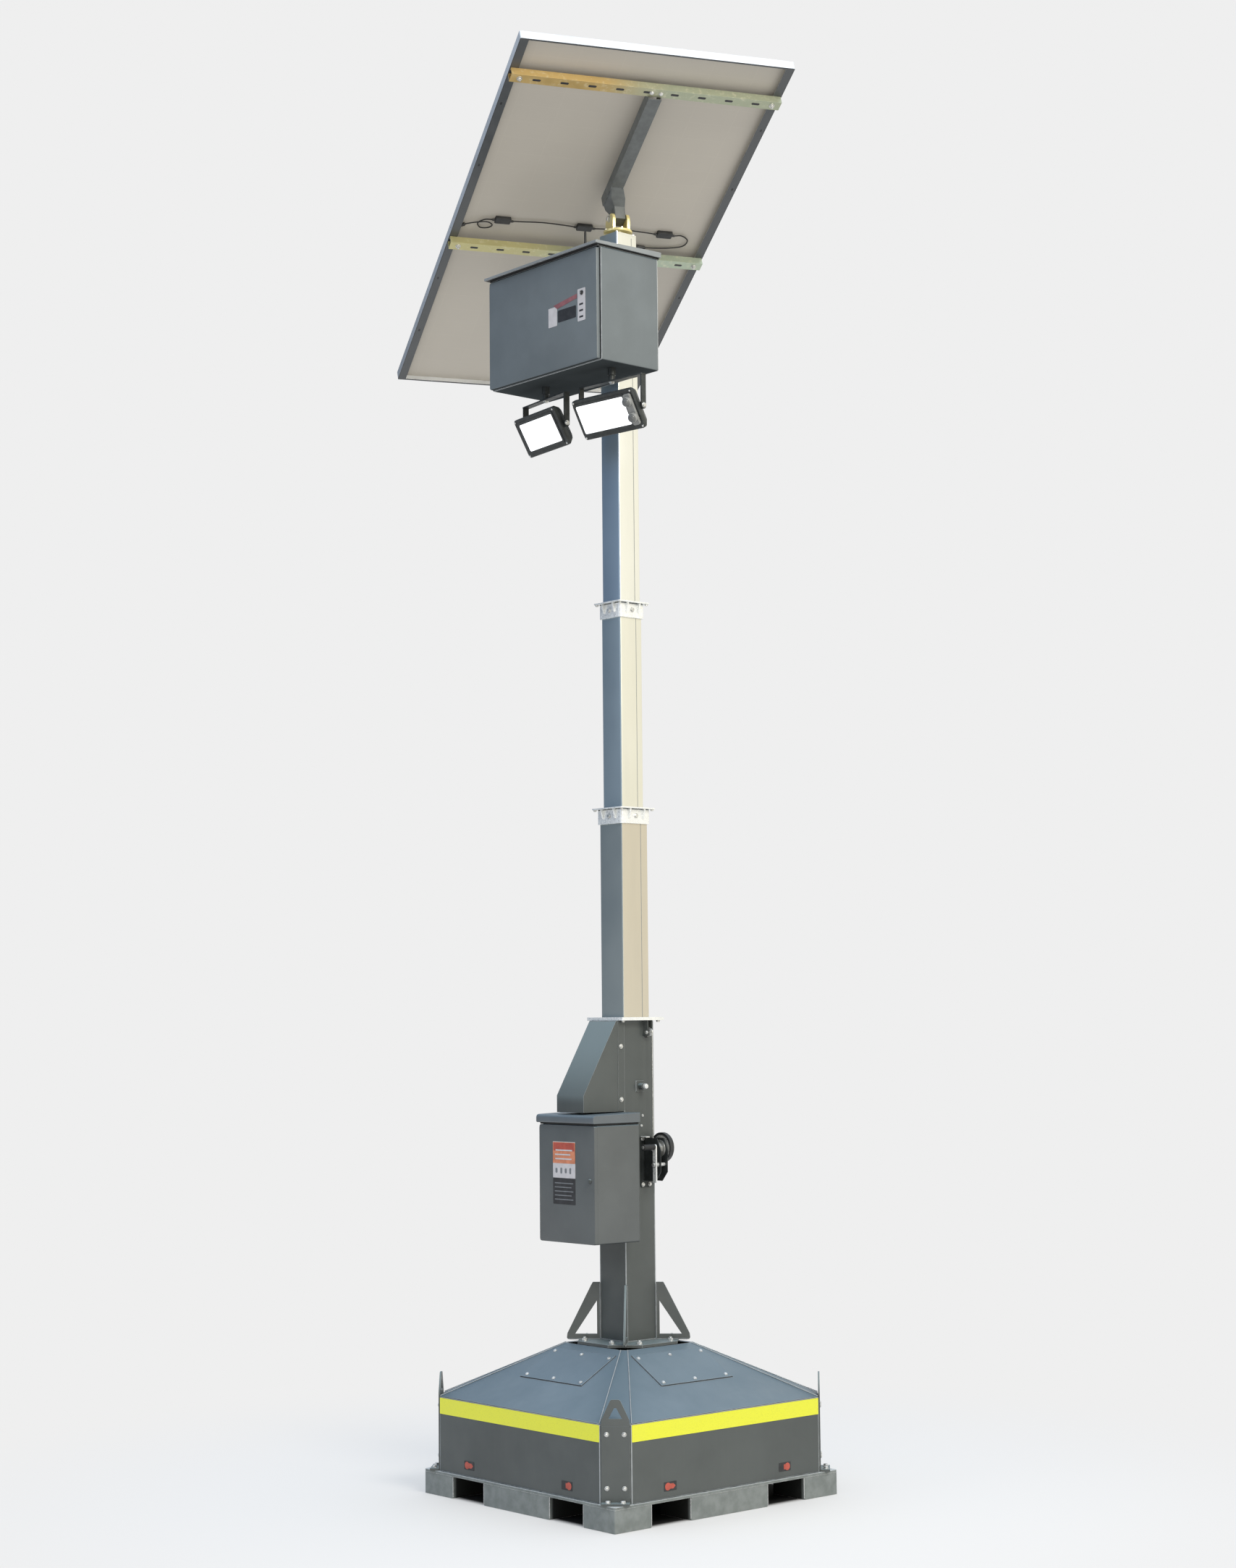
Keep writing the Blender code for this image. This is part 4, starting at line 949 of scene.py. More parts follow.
def cabinet_door():
    node = "cabinet_door"
    s = Shape()
    x0, front, low, top = door_skin(s, node, 0.007)
    s.done("cabinet_door_skin", "cabinet_door", CASEPAINT, node, [node], 0)
    fittings = Shape()
    hinge(fittings, x0 - 0.0012, front + 0.0050, low + 0.006, top - 0.010)
    fittings.done("cabinet_door_hinges", "cabinet_door", [PAINT], node, bevel=0.0006)
    labels = Shape()
    left, right = -0.079, 0.050
    y0, y1 = front - 0.0007, front + 0.0003
    bands = ((1, 1.186, 1.320), (0, 1.240, 1.318), (2, 1.286, 1.316), (3, 1.089, 1.1855))
    for step, (paint, a, b) in enumerate(bands):
        labels.paint = paint
        inset = 0.004 if paint == 2 else 0.0
        band = rounded(left + inset, right - inset, a, b, 0.002, 2)
        labels.prism(band, "Y", y0 - 0.0003 * (step % 3), y1)
    labels.paint = 1
    for k, (a, b) in enumerate(((-0.064, 0.030), (-0.066, 0.022), (-0.062, 0.034))):
        z = 1.254 + 0.016 * k
        labels.prism(rect(a, b, z, z + 0.005), "Y", y0 - 0.0010, y1)
    labels.paint = 4
    for x, tall in ((-0.064, 0.018), (-0.036, 0.022), (-0.010, 0.018), (0.016, 0.022)):
        figure = rounded(x, x + 0.011, 1.213 - tall / 2, 1.213 + tall / 2, 0.004, 3)
        labels.prism(figure, "Y", y0 - 0.0004, y1)
    for k in range(5):
        z = 1.105 + 0.015 * k
        line = rect(left + 0.010, right - 0.012 - 0.010 * (k % 2), z, z + 0.0035)
        labels.prism(line, "Y", y0 - 0.0004, y1)
    looks = [LABEL_ORANGE, PAPER, LABEL_RED, INK, GREY]
    labels.done("cabinet_labels", "cabinet_door", looks, node, bevel=0)


def cabinet_roof():
    node = "cabinet_roof"
    x0, x1, front, back, low, top = span(node)
    lip = [(back, low), (front + 0.003, low), (front, low + 0.003), (front, low + 0.020)]
    crown = [(front + 0.003, low + 0.027), (front + 0.010, low + 0.0305), (back, top)]
    s = Shape()
    s.prism(lip + crown, "X", x0, x1)
    # Dark strip under the cap: a painted shadow gap.
    s.paint = 1
    lid_shadow_strip(s, "cabinet_shell", "cabinet_door", back, low)
    s.done("cabinet_cap", "base", [CAP, RUBBER], node, [node], 0.0030, 3)


# ---- winch ----

PULLEY = [(a + b) / 2 for a, b in zip(span("rope_pulley")[0::4], span("rope_pulley")[1::4])]
DRUM_AT = [joint("winch_drum_spin")["pos_m"][k] for k in (0, 2)]
CRANK_AT = [joint("winch_crank_spin")["pos_m"][k] for k in (0, 2)]
MID_Y = joint("winch_drum_spin")["pos_m"][1]


def gear_outline(a, b, tip, root, teeth, turn=0.0):
    points = []
    for k in range(teeth):
        for share, r in ((-0.26, root), (-0.12, tip), (0.12, tip), (0.26, root)):
            t = 2 * math.pi * (k + share) / teeth + turn
            points.append((a + r * math.cos(t), b + r * math.sin(t)))
    return points


def winch_frame():
    node = "winch_frame"
    x0, x1, y0, y1, z0, z1 = span(node)
    s = Shape()
    s.prism(rounded(y0, y1, z0, z1, 0.006), "X", x0, x0 + 0.004)
    foot, head = z0 + 0.025, z1 - 0.007
    outline = [(x0 + 0.003, foot), (x1 - 0.030, foot), (x1, foot + 0.035), (x1, head - 0.045),
               (x1 - 0.020, head), (x0 + 0.003, head)]
    for y in (MID_Y - 0.0165, MID_Y + 0.0165):
        s.prism(outline, "Y", y - 0.0015, y + 0.0015)
    s.paint = 1
    for x, z in (DRUM_AT, CRANK_AT):
        for y, way in ((MID_Y - 0.0181, -1), (MID_Y + 0.0181, 1)):
            s.turned("Y", x, z, ((0.0105, y), (0.0105, y + way * 0.0012), (0.0095, y + way * 0.0016)), 24)
    s.rod("Y", x1 - 0.060, foot + 0.013, 0.005, MID_Y - 0.0170, MID_Y + 0.0170, 16)
    for y, z in ((y0 + 0.009, z0 + 0.011), (y1 - 0.009, z0 + 0.011), (y0 + 0.009, z1 - 0.010)):
        s.bolt((x0 + 0.004, y, z), (1, 0, 0), 0.0065, 0.0045)
    s.paint = 2
    s.prism(rounded(y0, y0 + 0.020, z1 - 0.0045, z1, 0.002, 3), "X", x0 + 0.003, x0 + 0.034)
    s.done("winch_side_plates", "base", [LAMP, STEEL, BRIGHT], node, [node], 0.0009)


def winch_cover():
    """Moulded gear cover, round on top and cut off level at its foot."""
    node = "winch_gear_cover"
    x0, x1, y0, y1, z0, z1 = span(node)
    x, z = (x0 + x1) / 2, z1 - 0.056
    s = Shape()
    rings = ((0.0535, y0 + 0.002), (0.0560, y0), (0.0560, y1 - 0.004), (0.0545, y1 - 0.0012), (0.0510, y1),
             (0.0180, y1), (0.0165, y1 - 0.0012), (0.0060, y1 - 0.0014))
    made = []
    for r, y in rings:
        start = math.asin(min(1.0, (z - z0) / r))
        turns = [-start + (math.pi + 2 * start) * k / 40 for k in range(41)]
        made.append([(x + r * math.cos(t), y, z + r * math.sin(t)) for t in turns])
    s.loft(made)
    s.paint = 1
    s.dome_bolt((x, y1 - 0.001, z), (0, 1, 0), 0.006, 0.0035)
    s.done("winch_cover", "base", [BLACK, STEEL], node, [node], 0.0008)


def winch_drum():
    node = "winch_drum"
    x, z = DRUM_AT
    s = Shape()
    s.rod("Y", x, z, 0.018, MID_Y - 0.0130, MID_Y + 0.0130, 40)
    for y in (MID_Y - 0.0145, MID_Y + 0.0127):
        flange = ((0.0315, y), (0.032, y + 0.0004), (0.032, y + 0.0014), (0.0315, y + 0.0018))
        s.turned("Y", x, z, flange, 48)
    s.rod("Y", x, z, 0.0068, MID_Y - 0.024, MID_Y + 0.0255, 24)
    s.prism(gear_outline(x, z, 0.0498, 0.0462, 48), "Y", MID_Y + 0.0190, MID_Y + 0.0245)
    s.bolt((x, MID_Y - 0.022, z), (0, -1, 0), 0.0075, 0.005, washer=False)
    s.done("drum_and_gear", "winch_drum", STEEL, node, [node], 0.0004)
    wraps = Shape()
    step, points = 0.0041, []
    for k in range(148):  # five turns and a quarter, in steps of 1/28
        t = 2 * math.pi * k / 28
        points.append((x - 0.0200 * math.cos(t), MID_Y - 0.0105 + step * k / 28, z + 0.0200 * math.sin(t)))
    wraps.pipe(points, 0.0020, 8)
    wraps.done("rope_wraps", "winch_drum", ROPE, node, bevel=0)


def winch_crank():
    node = "winch_crank"
    x, z = CRANK_AT
    grip = span("winch_grip")
    peg_z = (grip[4] + grip[5]) / 2
    y, s = MID_Y, Shape()
    s.rod("Y", x, z, 0.0068, y - 0.034, y + 0.0255, 24)
    s.prism(gear_outline(x, z, 0.0123, 0.0098, 12, math.pi / 12), "Y", y + 0.0185, y + 0.0250)
    s.prism(rounded(x - 0.009, x + 0.009, z - 0.068, peg_z + 0.010, 0.0085), "Y", y - 0.034, y - 0.028)
    s.rod("Y", x, peg_z, 0.0044, grip[2] - 0.002, y - 0.030, 18)
    s.paint = 1
    s.bolt((x, y - 0.034, z), (0, -1, 0), 0.0085, 0.0065)
    s.dome_bolt((x, grip[2] - 0.0005, peg_z), (0, -1, 0), 0.0062, 0.0018)
    s.done("crank_arm", "winch_crank", [BRIGHT, STEEL], node, [node], 0.0008)
    s = Shape()
    length = grip[3] - grip[2]
    profile = [(0.0098, 0.0), (0.0110, 0.002)]
    profile += [(0.0110 - 0.0010 * (k % 2), 0.006 + (length - 0.012) * k / 10) for k in range(11)]
    profile += [(0.0110, length - 0.002), (0.0098, length)]
    s.turned("Y", x, peg_z, [(r, grip[2] + h) for r, h in profile], 28)
    s.done("crank_grip", "winch_grip", RUBBER, "winch_grip", ["winch_grip"], 0)


def rope_and_pulley():
    node = "rope_pulley"
    x, z = PULLEY
    y0, y1 = span(node)[2:4]
    y = (y0 + y1) / 2
    s = Shape()
    groove = ((0.0150, y0), (0.0165, y0 + 0.0006), (0.0165, y0 + 0.0016), (0.0150, y - 0.0022), (0.0146, y),
              (0.0150, y + 0.0022), (0.0165, y1 - 0.0016), (0.0165, y1 - 0.0006), (0.0150, y1))
    s.turned("Y", x, z, groove, 48)
    s.done("sheave", "rope_pulley", STEEL, node, [node], 0)
    rope = Shape()
    r = 0.0170
    start, end = Vector((x + r, y, DRUM_AT[1] + 0.002)), Vector((x + r, y, z))
    points = [start, start.lerp(end, 0.33), start.lerp(end, 0.66)]
    over = [math.radians(a) for a in range(0, 181, 15)]
    points += [(x + r * math.cos(t), y, z + r * math.sin(t)) for t in over]
    points += [(x - r, y, z - 0.012)]
    rope.pipe(points, 0.0020, 10)
    rope.done("lifting_rope", "base", ROPE, "winch_rope", ["winch_rope"], 0)


def lock_pin():
    node = "lock_pin"
    x0, x1, y0, y1, z0, z1 = span(node)
    y, z = (y0 + y1) / 2, (z0 + z1) / 2
    s = Shape()
    s.rod("X", y, z, 0.0058, x0, x1 - 0.008, 24)
    knob = [(0.0070, -0.0145), (0.0100, -0.0130), (0.0100, -0.0035), (0.0090, -0.0012), (0.0060, 0.0)]
    knurl = [(2 * math.pi * k / 36, 0.0006 * (k % 2)) for k in range(36)]
    s.loft([[(x1 + h, y + (r - cut) * math.cos(t), z + (r - cut) * math.sin(t)) for t, cut in knurl]
            for r, h in knob])
    s.done("plunger", "lock_pin", BRIGHT, node, [node], 0.0003)


# ---- battery box ----

def battery_box():
    looks = [BOXPAINT, RUBBER, EDGE_HIGHLIGHT]
    open_case("battery_case_shell", "stage_3", "battery_box_shell", looks, 0.006, bright=2)
    battery_lid()
    battery_door()
    battery_bracket()
    quarter_turn("battery_turn_latch", "battery_box_latch", "battery_box_latch", [BLACK, STEEL])
    for index in (1, 2):
        keep(f"battery_{index}", CASE)


def battery_lid():
    node = "battery_box_lid"
    x0, x1, front, back, low, top = span(node)
    s = Shape()
    lip = [(back, low), (front + 0.002, low), (front, low + 0.002), (front, low + 0.009)]
    s.prism(lip + [(front + 0.003, low + 0.0105), (back, top)], "X", x0, x1)
    # Dark strip and thin dark slab under the lid: a painted shadow gap and painted shade on its underside.
    s.paint = 2
    lid_shadow_strip(s, "battery_box_shell", "battery_box_door", back, low)
    s.box(x0 + 0.002, x1 - 0.002, front + 0.003, back - 0.002, low - 0.0008, low + 0.0002)
    s.done("battery_case_lid", "stage_3", [LIDPAINT, EDGE_HIGHLIGHT, RUBBER], node, [node], 0.0022, 3, bright=1)
    x0, x1, y0, y1, z0, z1 = span("antenna")
    x, y = (x0 + x1) / 2, (y0 + y1) / 2
    s = Shape()
    foot = ((0.0128, z0 + 0.0015), (0.0130, z0 + 0.004), (0.0130, z0 + 0.012), (0.0060, z0 + 0.022))
    rod = ((0.0050, z0 + 0.026), (0.0046, z1 - 0.004), (0.0036, z1 - 0.001), (0.0020, z1))
    s.turned("Z", x, y, foot + rod, 28)
    s.done("aerial", "stage_3", BLACK, "antenna", ["antenna"], 0)


def battery_door():
    node = "battery_box_door"
    s = Shape()
    x0, front, low, top = door_skin(s, node, 0.006)
    hinge(s, x0 - 0.0012, front + 0.0050, low + 0.006, top - 0.014)
    s.done("battery_door_skin", "battery_box_door", [BOXPAINT], node, [node], 0.0006)
    badge = Shape()
    y0, y1 = front - 0.0008, front + 0.0003
    left, right, low_z, high_z = 0.036, 0.252, 4.376, 4.499
    badge.prism(rounded(left, left + 0.050, low_z + 0.010, low_z + 0.084, 0.003), "Y", y0, y1)
    badge.prism(rounded(right - 0.044, right, low_z, high_z, 0.003), "Y", y0, y1)
    badge.paint = 1
    stroke = [(left + 0.052, low_z + 0.074), (right - 0.048, low_z + 0.092), (right - 0.048, low_z + 0.108),
              (left + 0.030, low_z + 0.090)]
    badge.prism(stroke, "Y", y0 - 0.0003, y1)
    badge.paint = 2
    badge.prism(rounded(left + 0.056, right - 0.054, low_z + 0.020, low_z + 0.066, 0.004), "Y", y0, y1)
    for k in range(3):
        z = low_z + 0.012 + 0.024 * k
        badge.prism(rect(right - 0.034, right - 0.012, z, z + 0.007), "Y", y0 - 0.0003, y1)
    badge.done("battery_door_badge", "battery_box_door", [PAPER, LABEL_MUTED, INK], node, bevel=0)


def battery_bracket():
    node = "box_bracket"
    half = span("mast_stage_3")[1]
    back, low, top = span("battery_box_shell")[3:]
    s = Shape()
    s.prism(rounded(-0.120, 0.120, low + 0.030, top - 0.030, 0.010), "Y", back + GAP, back + 0.006)
    for z in (low + 0.058, low + 0.328):
        s.paint = 0
        s.hollow(square(half + 0.006, 0.009), square(half + GAP, 0.006), "Z", z, z + 0.050)
        s.box(-0.035, 0.035, back + 0.004, -half - 0.004, z, z + 0.050)
        s.paint = 1
        for x in (-0.020, 0.020):
            s.bolt((x, half + 0.006, z + 0.025), (0, 1, 0), 0.0075, 0.0055)
            s.bolt((half + 0.006, x, z + 0.025), (1, 0, 0), 0.0075, 0.0055)
        for x in (-0.095, 0.095):
            s.bolt((x, back + 0.006, z + 0.025), (0, 1, 0), 0.0075, 0.0055)
    s.done("box_clamp", "stage_3", [GALV, STEEL], node, [node], 0.0012)


# ---- floodlights ----

def lamp_frame(side):
    """Own frame of a floodlight: X along the tilt axis, Y into the housing, Z up its face."""
    x, y = axis_of(f"light_tilt_{side}"), -broad_normal(f"light_lens_{side}", (0, -1, 0))
    return axes(x, y, x.cross(y), joint(f"light_tilt_{side}")["pos_m"])


def floodlight(side):
    own = lamp_frame(side)
    lamp = f"lamp_{side}"
    node = f"light_housing_{side}"
    half, front, fins_back, z0, z1 = span(node, own)[1:]
    shell_back = fins_back - 0.010
    x0, x1, y0, y1, lens_low, lens_top = span(f"light_lens_{side}", own)
    lens = (x0, x1, lens_low, lens_top)
    s = Shape(own)
    depth = ((front, 0.0025), (front + 0.0025, 0.0), (front + 0.015, 0.0), (shell_back - 0.008, 0.012),
             (shell_back, 0.020))
    s.loft([[(a, y, b) for a, b in shrunk(-half, half, z0, z1, by, 0.012)] for y, by in depth])
    s.hollow(shrunk(*lens, -0.009, 0.010), shrunk(*lens, 0.0005, 0.005), "Y", front - 0.0025, front + 0.002)
    root = shell_back - 0.004
    fin = [(root, z0 + 0.020), (fins_back, z0 + 0.026), (fins_back, z1 - 0.026), (root, z1 - 0.020)]
    for k in range(9):
        x = -0.096 + 0.024 * k
        s.prism(fin, "X", x - 0.0015, x + 0.0015)
    for side_x in (-1, 1):
        a, b = sorted((side_x * (half - 0.022), side_x * (half - 0.001)))
        s.prism(rounded(-0.012, 0.012, -0.013, 0.013, 0.006), "X", a, b)
    s.paint = 1
    for x in (-half + 0.009, half - 0.009):
        for z in (z0 + 0.009, z1 - 0.009):
            s.dome_bolt((x, front, z), (0, -1, 0), 0.0036, 0.002)
    stud = ((0.008, fins_back - 0.006), (0.008, fins_back - 0.001), (0.005, fins_back))
    s.turned("Y", -0.055, -0.020, stud, 20)
    s.done(f"light_body_{side}", lamp, [LAMP, STEEL], node, [node], 0.0012)
    glass = Shape(own)
    glass.loft([[(a, y, b) for a, b in shrunk(*lens, by, 0.006)]
                for y, by in ((y1, 0.0), (y0 - 0.0002, 0.0), (y0 - 0.0012, 0.002))])
    glass.done(f"light_glass_{side}", lamp, LIT, f"light_lens_{side}", [f"light_lens_{side}"], 0)
    yoke(side)


def yoke(side):
    node = f"light_yoke_{side}"
    pan = joint(f"light_pan_{side}")
    own = upright(axis_of(f"light_tilt_{side}"), pan["pos_m"])
    drop = pan["pos_m"][2] - joint(f"light_tilt_{side}")["pos_m"][2]
    half = span(f"light_housing_{side}", lamp_frame(side))[1] + 0.0055
    s = Shape(own)
    s.prism(rounded(-half - 0.0035, half + 0.0035, -0.014, 0.014, 0.003), "Z", -0.005, 0.0)
    for way in (-1, 1):
        a, b = sorted((way * (half - 0.003), way * (half + 0.003)))
        turns = [-math.pi * k / 8 for k in range(9)]
        arm = [(-0.012, -0.002), (0.012, -0.002)]
        arm += [(0.012 * math.cos(t), -drop - 0.002 + 0.012 * math.sin(t)) for t in turns]
        s.prism(arm, "X", a, b)
    head = span("battery_box_shell")[4] - pan["pos_m"][2] - GAP
    s.turned("Z", 0, 0, ((0.012, -0.003), (0.012, 0.018), (0.015, 0.020), (0.015, head)), 28)
    s.paint = 1
    for way in (-1, 1):
        s.bolt((way * (half + 0.003), 0, -drop), (way, 0, 0), 0.0078, 0.0055)
        s.rod("X", 0, -drop, 0.005, *sorted((way * (half - 0.004), way * (half + 0.002))), 16)
    s.bolt((0, 0, -0.005), (0, 0, -1), 0.009, 0.006)
    s.done(f"light_bracket_{side}", f"yoke_{side}", [LAMP, STEEL], node, [node], 0.0010)


def sensors():
    own = lamp_frame("right")
    x0, x1, front, back, z0, z1 = span("motion_sensor", own)
    mid = (x0 + x1) / 2
    s = Shape(own)
    s.prism(rounded(mid - 0.016, mid + 0.016, z0, z1, 0.007), "Y", back - 0.010, back)
    for z in (0.034, -0.028):
        s.turned("Y", mid, z, ((0.0190, back - 0.008), (0.0190, back - 0.020), (0.0178, back - 0.0225)), 40)
        s.paint = 1
        s.turned("Y", mid, z, ((0.0165, back - 0.0215), (0.0160, back - 0.026), (0.0130, back - 0.030),
                               (0.0080, back - 0.0325), (0.003, front)), 40)
        s.paint = 0
    s.done("sensor_heads", "lamp_right", [WHITE, DOME], "motion_sensor", ["motion_sensor"], 0.0008)


# ---- head and panel ----

def swivel_head():
    node = "head_clevis"
    own = upright(axis_of("panel_tilt"), joint("panel_tilt")["pos_m"])
    z0 = span(node, own)[4]
    s = Shape(own)
    s.turned("Z", 0, 0, ((0.0555, z0), (0.056, z0 + 0.0008), (0.056, z0 + 0.009), (0.0545, z0 + 0.010)), 56)
    half = [(0.045, z0 + 0.006), (0.045, -0.010), (0.042, -0.002), (0.035, 0.008), (0.028, 0.0125),
            (0.020, 0.014)]
    ear = half + [(-y, z) for y, z in reversed(half)]
    for a, b in ((-0.0354, -0.0236), (0.0236, 0.0354)):
        s.prism(ear, "X", a, b)
    s.paint = 1
    s.rod("X", 0, 0, 0.0079, -0.038, 0.038, 24)
    for way in (-1, 1):
        s.bolt((way * 0.0354, 0, 0), (way, 0, 0), 0.0120, 0.0085)
    for t in [math.pi * k / 2 for k in range(4)]:
        s.bolt((0.049 * math.cos(t), 0.049 * math.sin(t), z0 + 0.010), (0, 0, 1), 0.0054, 0.0038)
    s.done("clevis", "swivel_head", [GOLD, STEEL], node, [node], 0.0012)


def panel_frame_axes():
    x, z = axis_of("panel_tilt"), broad_normal("panel_laminate", (0, 0, 1))
    return axes(x, z.cross(x), z, joint("panel_tilt")["pos_m"])


def panel():
    own = panel_frame_axes()
    panel_frame(own)
    laminate(own)
    rails(own)
    spine(own)
    junction_boxes(own)


def panel_frame(own):
    node = "panel_frame"
    x0, x1, y0, y1, z0, z1 = span(node, own)
    s = Shape(own)
    plan = (x0, x1, y0, y1)
    edge = shrunk(*plan, 0.001, 0.003, 3)
    s.hollow(rounded(*plan, 0.004, 3), shrunk(*plan, 0.0028, 0.002, 3), "Z", z0, z1)
    s.hollow(edge, shrunk(*plan, 0.0105, 0.002, 3), "Z", z1 - 0.0062, z1)
    s.hollow(edge, rounded(x0 + 0.034, x1 - 0.034, y0 + 0.008, y1 - 0.008, 0.001, 3), "Z", z0, z0 + 0.0020)
    s.paint = 1
    for x in (x0 + 0.016, x1 - 0.016):
        for y in [y0 + (y1 - y0) * k / 6 for k in (1, 2, 4, 5)]:
            hole = rounded(x - 0.004, x + 0.004, y - 0.007, y + 0.007, 0.0039)
            s.prism(hole, "Z", z0 - 0.0003, z0 + 0.0002)
    s.done("module_frame", "panel", [ALU, INK], node, [node], 0.0007)


def laminate(own):
    node = "panel_laminate"
    x0, x1, y0, y1, z0, z1 = span(node, own)
    s = Shape(own)
    s.box(x0, x1, y0, y1, z0, (z0 + z1) / 2)
    s.paint = 1
    s.box(x0, x1, y0, y1, (z0 + z1) / 2 + 0.0001, z1)
    s.done("module_glass", "panel", [BACK, CELLS], node, [node], 0)


def rails(own):
    for side in ("upper", "lower"):
        node = f"rail_{side}"
        x0, x1, y0, y1, z0, z1 = span(node, own)
        s = Shape(own)
        wall, lip = 0.003, 0.012
        low, high = z0 + wall, z1 - wall
        right = [(y1, z0), (y1, z1), (y1 - lip, z1), (y1 - lip, high), (y1 - wall, high), (y1 - wall, low)]
        left = [(y0 + wall, low), (y0 + wall, high), (y0 + lip, high), (y0 + lip, z1), (y0, z1)]
        s.prism([(y0, z0)] + right + left, "X", x0, x1)
        s.paint = 2
        y = (y0 + y1) / 2
        for k in range(9):
            x = x0 + 0.10 + (x1 - x0 - 0.20) * k / 8
            hole = rounded(x - 0.016, x + 0.016, y - 0.0055, y + 0.0055, 0.0053)
            s.prism(hole, "Z", z0 - 0.0004, z0 + 0.0002)
        s.paint = 1
        for x in (x0 + 0.034, x1 - 0.034):
            s.bolt((x, y, z0), (0, 0, -1), 0.0085, 0.0065, tail=0.004)
        if side == "upper":
            for x in (SPINE_X - 0.018, SPINE_X + 0.018):
                s.bolt((x, y, z0), (0, 0, -1), 0.0068, 0.0045)
        s.done(f"support_rail_{side}", "panel", [RAILS[side], STEEL, INK], node, [node], 0.0010)


def spine(own):
    node = "tilt_spine"
    y1, z1 = span(node, own)[3::2]
    a, b, wall = SPINE_X - 0.026, SPINE_X + 0.026, 0.004
    floor = z1 - 0.041
    s = Shape(own)
    right = [(b, floor), (b, z1), (b - wall, z1), (b - wall, floor + wall)]
    left = [(a + wall, floor + wall), (a + wall, z1), (a, z1)]
    s.prism([(a, floor)] + right + left, "Y", -0.005, y1)

    def slab(x0, x1, y0, y1, z):
        return [(x, y, z) for x, y in rounded(x0, x1, y0, y1, 0.003, 3)]

    s.loft([slab(-0.0222, 0.0222, -0.019, 0.029, -0.019), slab(-0.0222, 0.0222, -0.020, 0.034, 0.0),
            slab(-0.0222, 0.0222, -0.019, 0.040, 0.030), slab(-0.018, 0.042, -0.012, 0.070, 0.048),
            slab(0.002, 0.050, -0.003, 0.115, floor + 0.003)])
    s.paint = 1
    for x in (0.003, 0.049):
        s.bead((x, 0.005, floor - 0.0005), (x, 0.113, floor - 0.0005), 0.0026)
    s.done("tilt_beam", "panel", [BEAM, WELD], node, [node], 0.0014)


def arc(points):
    """Smooth curve through a few points."""
    count = 10
    pts = [Vector(p) for p in points]
    pts = [pts[0] * 2 - pts[1]] + pts + [pts[-1] * 2 - pts[-2]]
    made = []
    for k in range(1, len(pts) - 2):
        a, b, c, d = pts[k - 1:k + 3]
        for i in range(count):
            t = i / count
            bend, twist = 2 * a - 5 * b + 4 * c - d, 3 * b - a - 3 * c + d
            made.append(0.5 * ((2 * b) + (c - a) * t + bend * t * t + twist * t ** 3))
    return made + [pts[-2]]


def junction_boxes(own):
    boxes = [span(f"junction_box_{k}", own) for k in (1, 2, 3)]
    for k, (x0, x1, y0, y1, z0, z1) in enumerate(boxes, start=1):
        s = Shape(own)
        mid_y, mid_z = (y0 + y1) / 2, z1 - 0.008
        s.loft([[(a, b, z) for a, b in shrunk(x0 + 0.014, x1 - 0.014, y0, y1, by, 0.004)]
                for z, by in ((z1, 0.0), (z0 + 0.002, 0.0), (z0, 0.0018))])
        for way, x in ((-1, x0 + 0.014), (1, x1 - 0.014)):
            s.prism(ring(mid_y, mid_z, 0.0048, 20), "X", *sorted((x, x + way * 0.010)))
            s.prism(ring(mid_y, mid_z, 0.0036, 20), "X", *sorted((x + way * 0.010, x + way * 0.013)))
        mid_x = (x0 + x1) / 2
        lid = rounded(mid_x - 0.019, mid_x + 0.019, mid_y - 0.010, mid_y + 0.010, 0.002)
        s.prism(lid, "Z", z0 - 0.0006, z0)
        s.done(f"terminal_box_{k}", "panel", BLACK, f"junction_box_{k}", [f"junction_box_{k}"], 0.0006)
    cables(own, boxes)


def plug(s, at, degrees=0.0):
    """Cable plug along X, turned about the vertical of the panel."""
    s.m, s.paint = Matrix.Translation(at) @ turn_z(degrees), 1
    s.turned("X", 0, 0, ((0.0042, 0.0), (0.0070, 0.004), (0.0070, 0.026), (0.0085, 0.028), (0.0085, 0.034),
                         (0.0065, 0.037), (0.0065, 0.056), (0.0040, 0.060)), 20)
    s.m, s.paint = Matrix(), 0


def cables(own, boxes):
    """Leads clipped behind the module: two between the terminal boxes and two tails with plugs."""
    s = Shape(own)
    y = (boxes[0][2] + boxes[0][3]) / 2
    low = boxes[0][5] - 0.0074

    def lead(points):
        s.pipe(arc(points), LEAD_R, 8)

    def tail(x, steps):
        points = [(x + dx, y + dy, low + dz) for dx, dy, dz in steps]
        lead(points)
        return points[-1]

    for left, right in zip(boxes, boxes[1:]):
        a, b = left[1] - 0.002, right[0] + 0.002
        middle = ((a + b) / 2, y + 0.008, low)
        lead([(a, y, low), (a + 0.03, y + 0.003, low), middle, (b - 0.03, y + 0.002, low), (b, y, low)])
    loop = ((0, 0, 0), (0.03, -0.004, 0), (0.052, -0.028, 0), (0.036, -0.052, 0), (0.006, -0.046, -0.003))
    away = ((-0.004, -0.020, -0.010), (0.024, -0.002, -0.012), (0.070, -0.020, -0.006), (0.100, -0.040, 0))
    plug(s, tail(boxes[2][1] - 0.002, loop + away), -32)
    turned_back = ((0, 0, 0), (-0.030, 0.003, 0), (-0.062, -0.022, 0), (-0.050, -0.060, 0),
                   (0.02, -0.080, 0),
                   (0.10, -0.085, -0.002))
    plug(s, tail(boxes[0][0] + 0.002, turned_back))
    s.done("panel_leads", "panel", [RUBBER, BLACK], "junction_box_1", bevel=0)


